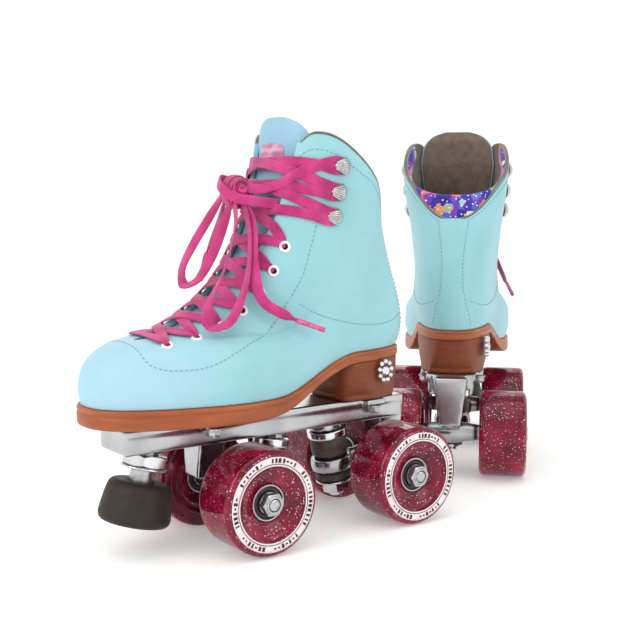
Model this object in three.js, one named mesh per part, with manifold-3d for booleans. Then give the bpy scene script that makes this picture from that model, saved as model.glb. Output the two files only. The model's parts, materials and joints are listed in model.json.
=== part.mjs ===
// A pair of quad roller skates: high lace-up boots on aluminium plates with sprung trucks.
// Millimetres, +Z up. Each skate is built about the ground point midway between its axles,
// toe towards -Y and the foot's outer side towards +X; the right skate is the left one mirrored.
import * as THREE from 'three';
import { mergeVertices } from 'three/addons/utils/BufferGeometryUtils.js';
import Module from 'manifold-3d';

const wasm = await Module();
wasm.setup();

// Clearance kept between pieces that touch on the real skate.
const gap = 0.3;

// Pair: where the right skate stands, beside and behind the left one.
const rightSkateTurn = THREE.MathUtils.degToRad(-134.6);
const rightSkateX = -73;
const rightSkateY = 206;

// Wheels, bearings and axles.
const wheelRadius = 32.5;
const wheelWidth = 35;
const wheelEdge = 4;
const wheelDish = 23;
const wheelRecess = 1.5;
const coreWidth = 24;
const coreRim = 2.6;
const bearingRadius = 11;
const bearingWidth = 7;
const spacerRadius = 5.8;
const axleRadius = 4;
const axleEnd = 1.6;
const nutAcrossFlats = 13;
const nutHeight = 6.5;
const wheelBase = 114.5;
const trackWidth = 114;
const wheelSides = 16;
const smallSides = 10;
const mediumSides = 12;

// Trucks.
const kingpinSpan = 55;
const kingpinLean = THREE.MathUtils.degToRad(10.4);
const ringHeight = 36;
const ringRadius = 13.5;
const ringThickness = 9;
const ringBore = 9;
const kingpinRadius = 4.8;
const upperCushion = 13.2;
const lowerCushion = 6.6;
const cushionRadius = 12.4;
const cushionNeck = 8.2;
const cupHeight = 5.6;
const retainerThickness = 2;
const kingpinNut = 7;
const pivotReach = 16.5;
const pivotRise = 8;
const pivotPin = 3.6;
const pivotBall = 5.4;
const spineRadius = 4.3;
const housingRadius = 7;
const journalRadius = 6;
const housingHalf = 19;

// Plate.
const plateTop = 80;
const plateWeb = 4.5;
const plateDepth = 16;
const plateHalfWidth = 17;
const plateWall = 3.6;
const plateFront = 134;
const plateRear = 75;
const lugHalfWidth = 24;
const lugLength = 15;
const frontLug = -76;
const rearLug = 47.5;
const bossRadius = 12;

// Toe stop.
const stopReach = 111;
const stopLean = THREE.MathUtils.degToRad(13.3);
const stemRadius = 7.9;
const stopRadius = 22;
const stopHeight = 26;
const stopBottom = 19;
const stopTopRadius = 19.5;
const stopNutFlats = 26;
const stopNutHeight = 9;
const stopTravelUp = 5;

// Outsole and heel.
const soleFront = 12;
const soleArch = 7;
const soleWelt = 2.2;
const heelRise = 21;
const archStart = -42;
const archEnd = 30;
const heelTaper = 5;
const heelLength = 60;
const heelTopHalf = 30;
const heelBottomHalf = 24;

// Boot.
const toeReach = 149;
const bootLength = 229;
const shaftHeight = 162;
const bootWall = 4;
const bootFloor = 3.5;
const cuffDrop = 41;
const cuffFront = -8;
const cuffBack = 62;
const toeShift = 6;
const tongueThickness = 4.5;
const laceThickness = 1.8;
const laceWidth = 6.5;
const eyeletStart = 15;
const eyeletPitch = 15.8;
const eyeletCount = 7;
const hookStart = 144;
const hookPitch = 14;
const hookCount = 3;
const bowCordRadius = 2.2;

const bootBase = plateTop + gap + soleFront + gap;
const wheelCentre = (trackWidth - wheelWidth) / 2;
const clamp01 = (value) => Math.min(1, Math.max(0, value));
const smooth = (from, to, value) => {
  const t = clamp01((value - from) / (to - from));
  return t * t * (3 - 2 * t);
};
const vec = (x, y, z) => new THREE.Vector3(x, y, z);

// ---- Solids -------------------------------------------------------------------------

// Drops everything but the positions, merges shared corners and removes empty triangles.
function weld(geometry) {
  const bare = new THREE.BufferGeometry();
  bare.setAttribute('position', geometry.getAttribute('position').clone());
  if (geometry.index) bare.setIndex(geometry.index.clone());
  const merged = mergeVertices(bare, 1e-4);
  const kept = [];
  const index = merged.index.array;
  for (let i = 0; i < index.length; i += 3) {
    const [a, b, c] = [index[i], index[i + 1], index[i + 2]];
    if (a !== b && b !== c && c !== a) kept.push(a, b, c);
  }
  merged.setIndex(kept);
  return merged;
}

function signedVolume(geometry) {
  const position = geometry.getAttribute('position');
  const corner = (i) => new THREE.Vector3().fromBufferAttribute(position, geometry.index.array[i]);
  let volume = 0;
  for (let i = 0; i < geometry.index.count; i += 3) {
    volume += corner(i).dot(corner(i + 1).cross(corner(i + 2))) / 6;
  }
  return volume;
}

// Welds a closed surface and turns its faces outwards.
function closed(geometry) {
  const welded = weld(geometry);
  if (signedVolume(welded) < 0) welded.setIndex(Array.from(welded.index.array).reverse());
  return welded;
}

function toSolid(geometry) {
  const welded = closed(geometry);
  const vertProperties = new Float32Array(welded.getAttribute('position').array);
  const triVerts = new Uint32Array(welded.index.array);
  return new wasm.Manifold(new wasm.Mesh({ numProp: 3, vertProperties, triVerts }));
}

function toGeometry(solid) {
  const mesh = solid.getMesh();
  const geometry = new THREE.BufferGeometry();
  geometry.setAttribute('position', new THREE.BufferAttribute(new Float32Array(mesh.vertProperties), 3));
  geometry.setIndex(Array.from(mesh.triVerts));
  return geometry;
}

const join = (...geometries) => toGeometry(geometries.map(toSolid).reduce((all, next) => all.add(next)));
const cut = (geometry, ...tools) => toGeometry(
  tools.map(toSolid).reduce((left, tool) => left.subtract(tool), toSolid(geometry)));
const common = (a, b) => toGeometry(toSolid(a).intersect(toSolid(b)));

// Turns a half-profile of [radius, height] pairs about the Y axis, with a flat side at the start.
function turned(profile, sides) {
  const points = profile.map(([radius, height]) => new THREE.Vector2(radius, height));
  return closed(new THREE.LatheGeometry(points, sides, Math.PI / sides));
}

// A ring or tube profile, closed on itself.
const turnedRing = (profile, sides) => turned([...profile, profile[0]], sides);

const rod = (radius, length, sides) => closed(
  new THREE.CylinderGeometry(radius, radius, length, sides).rotateY(Math.PI / sides));

function block(x0, x1, y0, y1, z0, z1) {
  return closed(new THREE.BoxGeometry(x1 - x0, y1 - y0, z1 - z0)
    .translate((x0 + x1) / 2, (y0 + y1) / 2, (z0 + z1) / 2));
}

// Skins a stack of rings. Points i and n-i of a ring lie across from each other, so the two
// end faces are filled by strips from side to side.
function loft(rings) {
  const count = rings[0].length;
  const index = [];
  for (let level = 0; level + 1 < rings.length; level += 1) {
    for (let i = 0; i < count; i += 1) {
      const a = level * count + i;
      const b = level * count + (i + 1) % count;
      index.push(a, b, b + count, a, b + count, a + count);
    }
  }
  const top = (rings.length - 1) * count;
  for (let i = 0; i < count / 2; i += 1) {
    const near = [i, i + 1, (count - i - 1) % count, (count - i) % count];
    for (const [a, b, c] of [[near[0], near[1], near[2]], [near[0], near[2], near[3]]]) {
      index.push(c, b, a, top + a, top + b, top + c);
    }
  }
  const geometry = new THREE.BufferGeometry();
  const positions = rings.flat().flatMap((point) => point.toArray());
  geometry.setAttribute('position', new THREE.Float32BufferAttribute(positions, 3));
  geometry.setIndex(index);
  return closed(geometry);
}

// Carries a shape built about the Y axis, centred on the origin, to `place` along `direction`.
function aim(geometry, place, direction) {
  const turn = new THREE.Quaternion().setFromUnitVectors(vec(0, 1, 0), direction.clone().normalize());
  return geometry.applyQuaternion(turn).translate(place.x, place.y, place.z);
}

const acrossAxle = (geometry, x, y, z) => geometry.rotateZ(-Math.PI / 2).translate(x, y, z);

// ---- Boot ---------------------------------------------------------------------------

// Cross-sections from the sole upwards: the front and back of each (y, height above the boot's
// base), and its half-width over the ball and over the heel.
const share = (y) => (y + toeReach) / bootLength;
const sections = [
  { front: [share(-148), 0.000], back: [share(77), 0.000], ball: 44, heel: 30 },
  { front: [share(-149), 0.066], back: [share(80), 0.075], ball: 46.5, heel: 33 },
  { front: [share(-145), 0.146], back: [share(80), 0.160], ball: 45.5, heel: 33.5 },
  { front: [share(-135), 0.200], back: [share(77.5), 0.245], ball: 41, heel: 33 },
  { front: [share(-119), 0.232], back: [share(73.5), 0.330], ball: 36, heel: 33 },
  { front: [share(-101), 0.253], back: [share(69), 0.415], ball: 33, heel: 33.5 },
  { front: [share(-82), 0.314], back: [share(64.5), 0.500], ball: 32, heel: 35 },
  { front: [share(-60), 0.422], back: [share(60), 0.585], ball: 33, heel: 37 },
  { front: [share(-38), 0.625], back: [share(56), 0.678], ball: 36, heel: 39.5 },
  { front: [share(-26), 0.850], back: [share(54), 0.828], ball: 39, heel: 41.5 },
  { front: [share(-20), 1.080], back: [share(54), 1.050], ball: 40, heel: 42 },
  { front: [share(-18), 1.190], back: [share(55), 1.190], ball: 40, heel: 42 },
];
const ringPoints = 16;
const planRoundness = 2.4;

const alongBoot = (fraction) => fraction * bootLength - toeReach;
const frontLine = new THREE.CatmullRomCurve3(sections.map(({ front }) => vec(
  0, alongBoot(front[0]), bootBase + front[1] * shaftHeight)));
const backLine = new THREE.CatmullRomCurve3(sections.map(({ back }) => vec(
  0, alongBoot(back[0]), bootBase + heelRise + back[1] * (shaftHeight - heelRise))));
const widthLine = new THREE.CatmullRomCurve3(sections.map(({ ball, heel }) => vec(ball, heel, 0)));

// How far the foot's centre line swings to the inner side at a given y.
const swing = (y) => -toeShift * smooth(archStart, -toeReach, y);

// The height between a ring's front and back ends, which follows the arch.
const archHeight = (y, low, high) => low + (high - low) * smooth(archStart, archEnd, y);

// One ring of the boot at `level` (0 to 1, sole to top), drawn in by `inset`.
function bootRing(level, inset) {
  const frontTangent = frontLine.getTangent(level);
  const backTangent = backLine.getTangent(level);
  const front = frontLine.getPoint(level).add(vec(0, frontTangent.z, -frontTangent.y).multiplyScalar(inset));
  const back = backLine.getPoint(level).add(vec(0, -backTangent.z, backTangent.y).multiplyScalar(inset));
  const width = widthLine.getPoint(level);
  const points = [];
  for (let i = 0; i < ringPoints; i += 1) {
    const angle = (i / ringPoints) * 2 * Math.PI;
    const bend = (value) => Math.sign(value) * Math.abs(value) ** (2 / planRoundness);
    const along = (1 - bend(Math.cos(angle))) / 2;
    const y = front.y + (back.y - front.y) * along;
    const half = width.x + (width.y - width.x) * smooth(0.3, 0.72, along) - inset;
    points.push(vec(swing(y) + half * bend(Math.sin(angle)), y, archHeight(y, front.z, back.z)));
  }
  return points;
}

// The whole boot as a filled body, drawn in by `inset`, with its underside raised by `floor`.
function bootBody(inset, floor = 0) {
  const rings = sections.map((_, k) => bootRing(k / (sections.length - 1), inset));
  for (const point of rings[0]) point.z += floor;
  return loft(rings);
}

// A flat outline in X and Z, pushed through the front of the boot along Y.
function throughFront(outline, back) {
  const shape = new THREE.Shape(outline.map(([x, z]) => new THREE.Vector2(x, z)));
  const depth = toeReach + back + 30;
  return closed(new THREE.ExtrudeGeometry(shape, { depth, bevelEnabled: false })
    .rotateX(Math.PI / 2).translate(0, back, 0));
}

const bothSides = (halfOutline) => [
  ...halfOutline, ...halfOutline.slice().reverse().map(([x, z]) => [-x, z])];

const upTo = (height) => bootBase + height * shaftHeight;
const throatHalf = [[5.5, 0.237], [9, 0.32], [13, 0.46], [19, 0.66], [25, 1.0], [30, 1.3]];
const throatOutline = bothSides(throatHalf.map(([x, h]) => [x, upTo(h)]));
const tongueHalf = [[12, 0.215], [17, 0.32], [21, 0.46], [26, 0.66], [30, 0.9], [28, 1.0], [21, 1.05], [10, 1.072]];
const tongueOutline = bothSides(tongueHalf.map(([x, h]) => [x, upTo(h)]));
const shaftMiddle = 12;

// Everything above the collar line, which falls from the cuff's front to its back.
function aboveCollar() {
  const shape = new THREE.Shape();
  const top = upTo(1.4);
  shape.moveTo(-toeReach - 30, upTo(1));
  for (let y = cuffFront; y <= cuffBack + 0.01; y += (cuffBack - cuffFront) / 8) {
    shape.lineTo(y, upTo(1) - cuffDrop * smooth(cuffFront, cuffBack, y));
  }
  shape.lineTo(cuffBack + 60, upTo(1) - cuffDrop);
  shape.lineTo(cuffBack + 60, top);
  shape.lineTo(-toeReach - 30, top);
  const geometry = new THREE.ExtrudeGeometry(shape, { depth: 160, bevelEnabled: false });
  return closed(geometry.translate(0, 0, -80).rotateX(Math.PI / 2).rotateZ(Math.PI / 2));
}

function bootUpper() {
  return cut(bootBody(0), bootBody(bootWall, bootFloor), throughFront(throatOutline, shaftMiddle), aboveCollar());
}

function tongue() {
  const outer = bootBody(bootWall + gap, bootFloor);
  const inner = bootBody(bootWall + gap + tongueThickness, bootFloor);
  return common(cut(outer, inner), throughFront(tongueOutline, shaftMiddle));
}

// ---- Lace ---------------------------------------------------------------------------

// Lacing is laid out across the instep: x, and s measured up its 45-degree slope.
const eyelets = Array.from({ length: eyeletCount }, (_, i) => ({
  x: 19 + i * 1.2, s: eyeletStart + i * eyeletPitch }));
const hooks = Array.from({ length: hookCount }, (_, i) => ({ x: 30, s: hookStart + i * hookPitch }));

// A flat strap between two lacing points, pushed down through the instep.
function strap(from, to) {
  const start = new THREE.Vector2(from.x, from.s);
  const end = new THREE.Vector2(to.x, to.s);
  const side = end.clone().sub(start).normalize().rotateAround(new THREE.Vector2(), Math.PI / 2)
    .multiplyScalar(laceWidth / 2);
  const corners = [start.clone().add(side), start.clone().sub(side), end.clone().sub(side), end.clone().add(side)];
  const geometry = new THREE.ExtrudeGeometry(new THREE.Shape(corners), { depth: 60, bevelEnabled: false });
  return geometry.translate(0, 0, 140).rotateX(Math.PI / 4);
}

function laces() {
  const holes = [...eyelets, ...hooks];
  const other = ({ x, s }) => ({ x: -x, s });
  const straps = [strap(other(holes[0]), holes[0])];
  for (let i = 0; i + 1 < holes.length; i += 1) {
    straps.push(strap(holes[i], other(holes[i + 1])), strap(other(holes[i]), holes[i + 1]));
  }
  const skin = cut(bootBody(-gap - laceThickness), bootBody(-gap));
  return common(skin, join(...straps));
}

// The bow's knot bears on the top crossings of the lacing, and two loops and two tails hang from it.
const bowRoutes = {
  knot: [vec(-18, -30.7, 219), vec(-14, -43, 220), vec(-5, -50, 221), vec(6, -49, 220), vec(14, -43, 220),
    vec(18, -30.7, 219)],
  outerLoop: [vec(2, -50, 218), vec(10, -53, 200), vec(19, -66, 173), vec(24, -82, 148), vec(27, -82, 138),
    vec(31, -72, 140), vec(27, -57, 162), vec(16, -47, 192), vec(6, -47, 216)],
  innerLoop: [vec(-4, -52, 218), vec(-12, -58, 202), vec(-16, -66, 184), vec(-14, -72, 168), vec(-8, -70, 162),
    vec(-4, -62, 172), vec(-2, -54, 192), vec(0, -49, 216)],
  outerTail: [vec(6, -48, 216), vec(14, -44, 200), vec(26, -50, 172), vec(35, -50, 153), vec(40, -36, 143),
    vec(46, -12, 133)],
  innerTail: [vec(-6, -50, 216), vec(-18, -48, 200), vec(-28, -52, 178), vec(-36, -52, 160)],
};

function bowCord(route) {
  const path = new THREE.CatmullRomCurve3(route);
  const section = new THREE.Shape();
  section.absarc(0, 0, bowCordRadius, 0, 2 * Math.PI, false);
  const steps = Math.round(path.getLength() / (bowCordRadius * 6));
  return new THREE.ExtrudeGeometry(section, {
    steps, extrudePath: path, curveSegments: 4, bevelEnabled: false });
}

const laceBow = () => join(...Object.values(bowRoutes).map(bowCord));

// ---- Outsole and heel ---------------------------------------------------------------

const soleTopAt = (y) => archHeight(y, bootBase - gap, bootBase - gap + heelRise);
const soleBottomAt = (y) => soleTopAt(y) - soleFront + (soleFront - soleArch) * smooth(archStart - 20, 0, y);

function outsole() {
  const outline = bootRing(0, -soleWelt);
  return loft([soleBottomAt, soleTopAt].map((heightAt) => outline.map(({ x, y }) => vec(x, y, heightAt(y)))));
}

// A D-shaped block, straight across the breast and round at the back, wider at the top, and
// cut to the underside of the outsole.
function heel() {
  const backEdge = alongBoot(sections[0].back[0]);
  const outline = (half, length, taper, z) => Array.from({ length: ringPoints }, (_, i) => {
    const angle = (i / ringPoints) * 2 * Math.PI;
    const square = Math.cos(angle) > 0 ? 0.4 : 2 / planRoundness;
    const bend = (value) => Math.sign(value) * Math.abs(value) ** square;
    return vec(half * bend(Math.sin(angle)), backEdge - taper - (length / 2) * (1 + bend(Math.cos(angle))), z);
  });
  const block = loft([
    outline(heelBottomHalf, heelLength - 2 * heelTaper, heelTaper, plateTop + gap),
    outline(heelTopHalf, heelLength, 0, bootBase + heelRise - gap),
  ]);
  const sole = bootRing(0, -soleWelt - 2);
  const above = loft([-gap, shaftHeight].map((lift) => sole.map(({ x, y }) => vec(x, y, soleBottomAt(y) + lift))));
  return cut(block, above);
}

// ---- Plate --------------------------------------------------------------------------

// The kingpin of the truck at `end` (-1 front, +1 rear) leans towards the skate's middle at its top.
const kingpinAxis = (end) => vec(0, -end * Math.sin(kingpinLean), Math.cos(kingpinLean));
const ringCentre = (end) => vec(0, end * kingpinSpan / 2, ringHeight);
const onKingpin = (end, s) => ringCentre(end).addScaledVector(kingpinAxis(end), s);
const axleY = (end) => end * wheelBase / 2;
const pivotCentre = (end) => vec(0, axleY(end) + end * pivotReach, ringHeight + pivotRise);
const steerAxis = (end) => pivotCentre(end).sub(ringCentre(end)).normalize();
const cupTop = ringThickness / 2 + gap + upperCushion + gap + cupHeight;

const stopAxis = vec(0, -Math.sin(stopLean), -Math.cos(stopLean));
const stopTopPoint = vec(0, -stopReach, plateTop - plateDepth);
const alongStop = (distance) => stopTopPoint.clone().addScaledVector(stopAxis, distance);

function taperedBoss(end) {
  const inner = axleY(end) + end * (pivotReach - pivotBall - 4);
  const outer = axleY(end) + end * (pivotReach + pivotBall + 2.2);
  const low = pivotCentre(end).z - 2.5;
  const corner = (half, y0, y1, z) => [vec(0, y0, z), vec(half, y0, z), vec(half, y1, z), vec(0, y1, z),
    vec(-half, y1, z), vec(-half, y0, z)];
  return loft([corner(8.5, inner, outer, low), corner(12.5, inner - end * 4, outer - end * 1, plateTop - 2)]);
}

function plate() {
  const half = plateHalfWidth;
  const inside = half - plateWall;
  const underside = plateTop - plateDepth;
  const pieces = [
    block(-half - 1.5, half + 1.5, -plateFront, plateRear, plateTop - plateWeb, plateTop),
    block(-half, -inside, -plateFront, plateRear, underside, plateTop - 1),
    block(inside, half, -plateFront, plateRear, underside, plateTop - 1),
    block(-half, half, -plateFront, -plateFront + plateWall, underside, plateTop - 1),
    block(-lugHalfWidth, lugHalfWidth, frontLug - lugLength / 2, frontLug + lugLength / 2,
      plateTop - plateWeb, plateTop),
    block(-lugHalfWidth, lugHalfWidth, rearLug - lugLength / 2, rearLug + lugLength / 2,
      plateTop - plateWeb, plateTop),
    aim(rod(stemRadius + 4.5, 20, mediumSides), alongStop(-8), stopAxis),
  ];
  const holes = [aim(rod(stemRadius + gap, 80, mediumSides), alongStop(10), stopAxis)];
  for (const end of [-1, 1]) {
    pieces.push(aim(rod(bossRadius, 22, smallSides), onKingpin(end, cupTop + gap + 11), kingpinAxis(end)));
    pieces.push(taperedBoss(end));
    holes.push(aim(rod(kingpinRadius + gap, 30, smallSides), onKingpin(end, cupTop + 5), kingpinAxis(end)));
    holes.push(pivotSocket(end));
  }
  const trimTop = block(-60, 60, -200, 200, plateTop, plateTop + 60);
  return cut(join(...pieces), trimTop, ...holes);
}

// The cup that takes the hanger's pivot: a round pocket open towards the truck.
function pivotSocket(end) {
  const centre = pivotCentre(end);
  const pocket = aim(rod(pivotBall + 0.8, 40, smallSides),
    centre.clone().addScaledVector(steerAxis(end), pivotBall + 0.6 - 20), steerAxis(end));
  return pocket;
}

// ---- Trucks -------------------------------------------------------------------------

function hanger(end) {
  const ring = ringCentre(end);
  const axis = steerAxis(end);
  const y = axleY(end);
  const reach = pivotCentre(end).distanceTo(ring);
  const spineLength = reach - ringRadius - 2;
  const spine = aim(rod(spineRadius, spineLength, smallSides),
    ring.clone().addScaledVector(axis, ringRadius - 1 + spineLength / 2), axis);
  const pin = aim(rod(pivotPin, pivotBall * 2 + 6, smallSides),
    ring.clone().addScaledVector(axis, reach - 3 - pivotBall / 2), axis);
  const ball = new THREE.SphereGeometry(pivotBall, smallSides, 5).translate(...pivotCentre(end).toArray());
  const journal = acrossAxle(rod(journalRadius, 2 * (wheelCentre - coreWidth / 2 - gap), smallSides),
    0, y, wheelRadius);
  const housing = acrossAxle(rod(housingRadius, 2 * housingHalf, smallSides), 0, y, wheelRadius);
  const web = block(-6, 6, y - 6, y + 6, wheelRadius, wheelRadius + 9);
  const body = join(aim(rod(ringRadius, ringThickness, mediumSides), ring, kingpinAxis(end)), spine, pin, ball, journal,
    housing, web);
  const axleBore = acrossAxle(rod(axleRadius + gap, trackWidth, smallSides), 0, y, wheelRadius);
  return cut(body, aim(rod(ringBore, 30, mediumSides), ring, kingpinAxis(end)), axleBore);
}

const axle = (end) => acrossAxle(rod(axleRadius, trackWidth + 2 * axleEnd, smallSides), 0, axleY(end), wheelRadius);

// Kingpin with its upper cup, lower retainer and nut, turned about its own axis.
function kingpin(end) {
  const base = -ringThickness / 2 - gap - lowerCushion - gap;
  const cupBase = cupTop - cupHeight;
  const profile = [
    [0, base - retainerThickness - kingpinNut - 3], [kingpinRadius, base - retainerThickness - kingpinNut - 3],
    [kingpinRadius, base - retainerThickness - kingpinNut], [9, base - retainerThickness - kingpinNut],
    [9, base - retainerThickness], [cushionRadius, base - retainerThickness], [cushionRadius, base],
    [kingpinRadius, base], [kingpinRadius, cupBase], [ringRadius, cupBase], [ringRadius, cupTop],
    [kingpinRadius, cupTop], [kingpinRadius, cupTop + 14], [0, cupTop + 14]];
  return aim(turned(profile, smallSides), ringCentre(end), kingpinAxis(end));
}

// Upper and lower cushion, one rubber body through the hanger's ring.
function cushions(end) {
  const bore = kingpinRadius + gap;
  const halfRing = ringThickness / 2 + gap;
  const profile = [
    [bore, -halfRing - lowerCushion], [cushionRadius - 1, -halfRing - lowerCushion], [cushionRadius, -halfRing],
    [cushionNeck, -halfRing], [cushionNeck, halfRing], [cushionRadius, halfRing],
    [cushionRadius - 0.6, halfRing + upperCushion], [bore, halfRing + upperCushion]];
  return aim(turnedRing(profile, smallSides), ringCentre(end), kingpinAxis(end));
}

// ---- Wheels -------------------------------------------------------------------------

function wheel(end, side) {
  const flat = 1 / Math.cos(Math.PI / wheelSides);
  const face = wheelWidth / 2;
  const core = coreWidth / 2;
  const rim = bearingRadius + coreRim;
  const half = [[rim, core], [wheelDish, face - wheelRecess], [(wheelRadius - wheelEdge) * flat, face],
    [wheelRadius * flat, face - wheelEdge]];
  const bore = (bearingRadius + gap) * flat;
  const profile = [[bore, -core], ...half.map(([r, h]) => [r, -h]), ...half.slice().reverse(), [bore, core]];
  return acrossAxle(turnedRing(profile, wheelSides), side * wheelCentre, axleY(end), wheelRadius);
}

// Two ball bearings with the spacer between their inner rings.
function bearings(end, side) {
  const outerFace = coreWidth / 2;
  const innerFace = outerFace - bearingWidth;
  const bore = axleRadius + gap;
  const profile = [[bore, -outerFace], [bearingRadius, -outerFace], [bearingRadius, -innerFace],
    [spacerRadius, -innerFace], [spacerRadius, innerFace], [bearingRadius, innerFace],
    [bearingRadius, outerFace], [bore, outerFace]];
  return acrossAxle(turnedRing(profile, smallSides), side * wheelCentre, axleY(end), wheelRadius);
}

function axleNut(end, side) {
  const radius = nutAcrossFlats / 2 / Math.cos(Math.PI / 6);
  const nut = cut(rod(radius, nutHeight, 6), rod(axleRadius + gap, nutHeight * 2, smallSides));
  const x = side * (wheelCentre + coreWidth / 2 + gap + nutHeight / 2);
  return acrossAxle(nut, x, axleY(end), wheelRadius);
}

// ---- Toe stop -----------------------------------------------------------------------

const rubberTop = (plateTop - plateDepth - stopBottom) / Math.cos(stopLean) - stopHeight;
const plateUnderGap = 3.4;

function toeStopStem() {
  const top = -(plateWeb + 7 - stopTravelUp);
  const bottom = rubberTop + stopHeight - 8;
  return aim(rod(stemRadius, bottom - top, mediumSides), alongStop((top + bottom) / 2), stopAxis);
}

function toeStopNut() {
  const radius = stopNutFlats / 2 / Math.cos(Math.PI / 6);
  const nut = cut(rod(radius, stopNutHeight, 6), rod(stemRadius + gap, stopNutHeight * 2, mediumSides));
  return aim(nut, alongStop(plateUnderGap + stopNutHeight / 2), stopAxis);
}

function toeStop() {
  const bore = stemRadius + gap;
  const pocket = stopHeight - 8 + gap;
  const profile = [[bore, 0], [stopTopRadius - 2, 0], [stopTopRadius, 3], [stopRadius, stopHeight - 4],
    [stopRadius - 3, stopHeight], [0, stopHeight], [0, pocket], [bore, pocket], [bore, 0]];
  return aim(turned(profile, mediumSides), alongStop(rubberTop), stopAxis);
}

// ---- Assembly -----------------------------------------------------------------------

const finishes = {
  leather: { color: 0x9fd8e0, roughness: 0.55, metalness: 0 },
  lace: { color: 0xe0357f, roughness: 0.85, metalness: 0 },
  soleRubber: { color: 0xa0522d, roughness: 0.6, metalness: 0 },
  heelStack: { color: 0x8e4522, roughness: 0.55, metalness: 0 },
  aluminium: { color: 0xc8c9cc, roughness: 0.3, metalness: 1 },
  chrome: { color: 0xd9dde2, roughness: 0.12, metalness: 1 },
  steel: { color: 0xb9bcc0, roughness: 0.3, metalness: 1 },
  urethane: { color: 0x9a0f36, roughness: 0.25, metalness: 0 },
  blackRubber: { color: 0x2b2522, roughness: 0.8, metalness: 0 },
  cushionRubber: { color: 0x4a403c, roughness: 0.7, metalness: 0 },
};

function buildSkate(name) {
  const skate = new THREE.Group();
  const place = (piece, geometry, finish) => {
    const mesh = new THREE.Mesh(geometry, new THREE.MeshStandardMaterial(finishes[finish]));
    mesh.name = `${name}_${piece}`;
    skate.add(mesh);
  };
  place('boot_upper', bootUpper(), 'leather');
  place('tongue', tongue(), 'leather');
  place('laces', laces(), 'lace');
  place('lace_bow', laceBow(), 'lace');
  place('outsole', outsole(), 'soleRubber');
  place('heel', heel(), 'heelStack');
  place('plate', plate(), 'aluminium');
  place('toe_stop_stem', toeStopStem(), 'steel');
  place('toe_stop_nut', toeStopNut(), 'chrome');
  place('toe_stop', toeStop(), 'blackRubber');
  for (const [endName, end] of [['front', -1], ['rear', 1]]) {
    place(`${endName}_hanger`, hanger(end), 'chrome');
    place(`${endName}_axle`, axle(end), 'steel');
    place(`${endName}_kingpin`, kingpin(end), 'chrome');
    place(`${endName}_cushions`, cushions(end), 'cushionRubber');
    for (const [sideName, side] of [['outer', 1], ['inner', -1]]) {
      place(`${endName}_${sideName}_wheel`, wheel(end, side), 'urethane');
      place(`${endName}_${sideName}_bearings`, bearings(end, side), 'steel');
      place(`${endName}_${sideName}_axle_nut`, axleNut(end, side), 'steel');
    }
  }
  return skate;
}

const leftSkate = buildSkate('left');
const rightSkate = buildSkate('right');
rightSkate.scale.x = -1;
const rightPlace = new THREE.Group();
rightPlace.rotation.z = rightSkateTurn;
rightPlace.position.set(rightSkateX, rightSkateY, 0);
rightPlace.add(rightSkate);

// The pair's frame stands at the middle of its footprint.
const pair = new THREE.Group();
pair.add(leftSkate, rightPlace);
pair.updateMatrixWorld(true);
const extent = new THREE.Box3().setFromObject(pair, true);
const middle = extent.getCenter(new THREE.Vector3());
pair.position.set(-middle.x, -middle.y, -extent.min.z);

export default pair;
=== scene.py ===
import json
import math
import random

import bmesh
import bpy
import numpy as np
from mathutils import Matrix, Vector
from mathutils.bvhtree import BVHTree


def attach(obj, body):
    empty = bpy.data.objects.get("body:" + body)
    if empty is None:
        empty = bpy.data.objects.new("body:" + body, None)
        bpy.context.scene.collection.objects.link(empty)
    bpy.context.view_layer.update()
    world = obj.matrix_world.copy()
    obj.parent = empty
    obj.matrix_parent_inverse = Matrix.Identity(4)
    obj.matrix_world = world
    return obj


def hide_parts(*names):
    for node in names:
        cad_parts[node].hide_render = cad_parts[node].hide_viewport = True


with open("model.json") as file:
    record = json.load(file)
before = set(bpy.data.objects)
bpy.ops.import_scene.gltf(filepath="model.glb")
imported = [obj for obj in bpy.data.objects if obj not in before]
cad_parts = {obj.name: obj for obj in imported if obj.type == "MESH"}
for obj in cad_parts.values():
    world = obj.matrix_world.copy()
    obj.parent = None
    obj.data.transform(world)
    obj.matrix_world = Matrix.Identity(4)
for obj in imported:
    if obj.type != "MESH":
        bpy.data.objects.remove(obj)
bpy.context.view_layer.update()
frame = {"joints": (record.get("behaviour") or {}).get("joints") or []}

# ---- Where the skates stand ---------------------------------------------------------
# A pair of quad skates: the left one side on, the right one behind it, turned away.
# Each skate is worked out in its own millimetres: toe to -Y, the foot's outer side to +X,
# ground at 0, midway between its axles. The steer joints say where that is in the pair.

joints = {joint["name"]: joint for joint in frame["joints"]}
skates = {}
for side, hand in (("left", 1), ("right", -1)):
    front = Vector(joints[f"{side}_front_steer"]["pos_m"])
    rear = Vector(joints[f"{side}_rear_steer"]["pos_m"])
    heelward = (rear - front).normalized()
    outward = Vector((heelward.y, -heelward.x, 0)) * hand
    middle = (front + rear) / 2
    skates[side] = Matrix((
        (outward.x, heelward.x, 0, middle.x * 1000),
        (outward.y, heelward.y, 0, middle.y * 1000),
        (0, 0, 1, 0),
        (0, 0, 0, 1000))) * 0.001


def to_pair(side, point):
    """A point of one skate, in its millimetres, in the pair's metres."""
    return skates[side] @ Vector(point)


# ---- Camera, floor and light --------------------------------------------------------
# A photographer's table: a white sweep whose rim curves up all round, one large soft light
# overhead and two weaker ones, and a camera just below the height of the boots' tops.

camera_stand = (608.6, -422.0, 222.7)
camera_aim = (8.5, 11.8, 134.0)
lens_mm = 64.1
camera = bpy.data.objects.new("camera", bpy.data.cameras.new("camera"))
bpy.context.scene.collection.objects.link(camera)
camera.data.lens = lens_mm
camera.data.sensor_width = 36
camera.data.clip_start = 0.01
camera.location = to_pair("left", camera_stand)
sight = to_pair("left", camera_aim) - camera.location
camera.rotation_mode = "QUATERNION"
camera.rotation_quaternion = sight.to_track_quat("-Z", "Y")
bpy.context.scene.camera = camera


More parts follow.
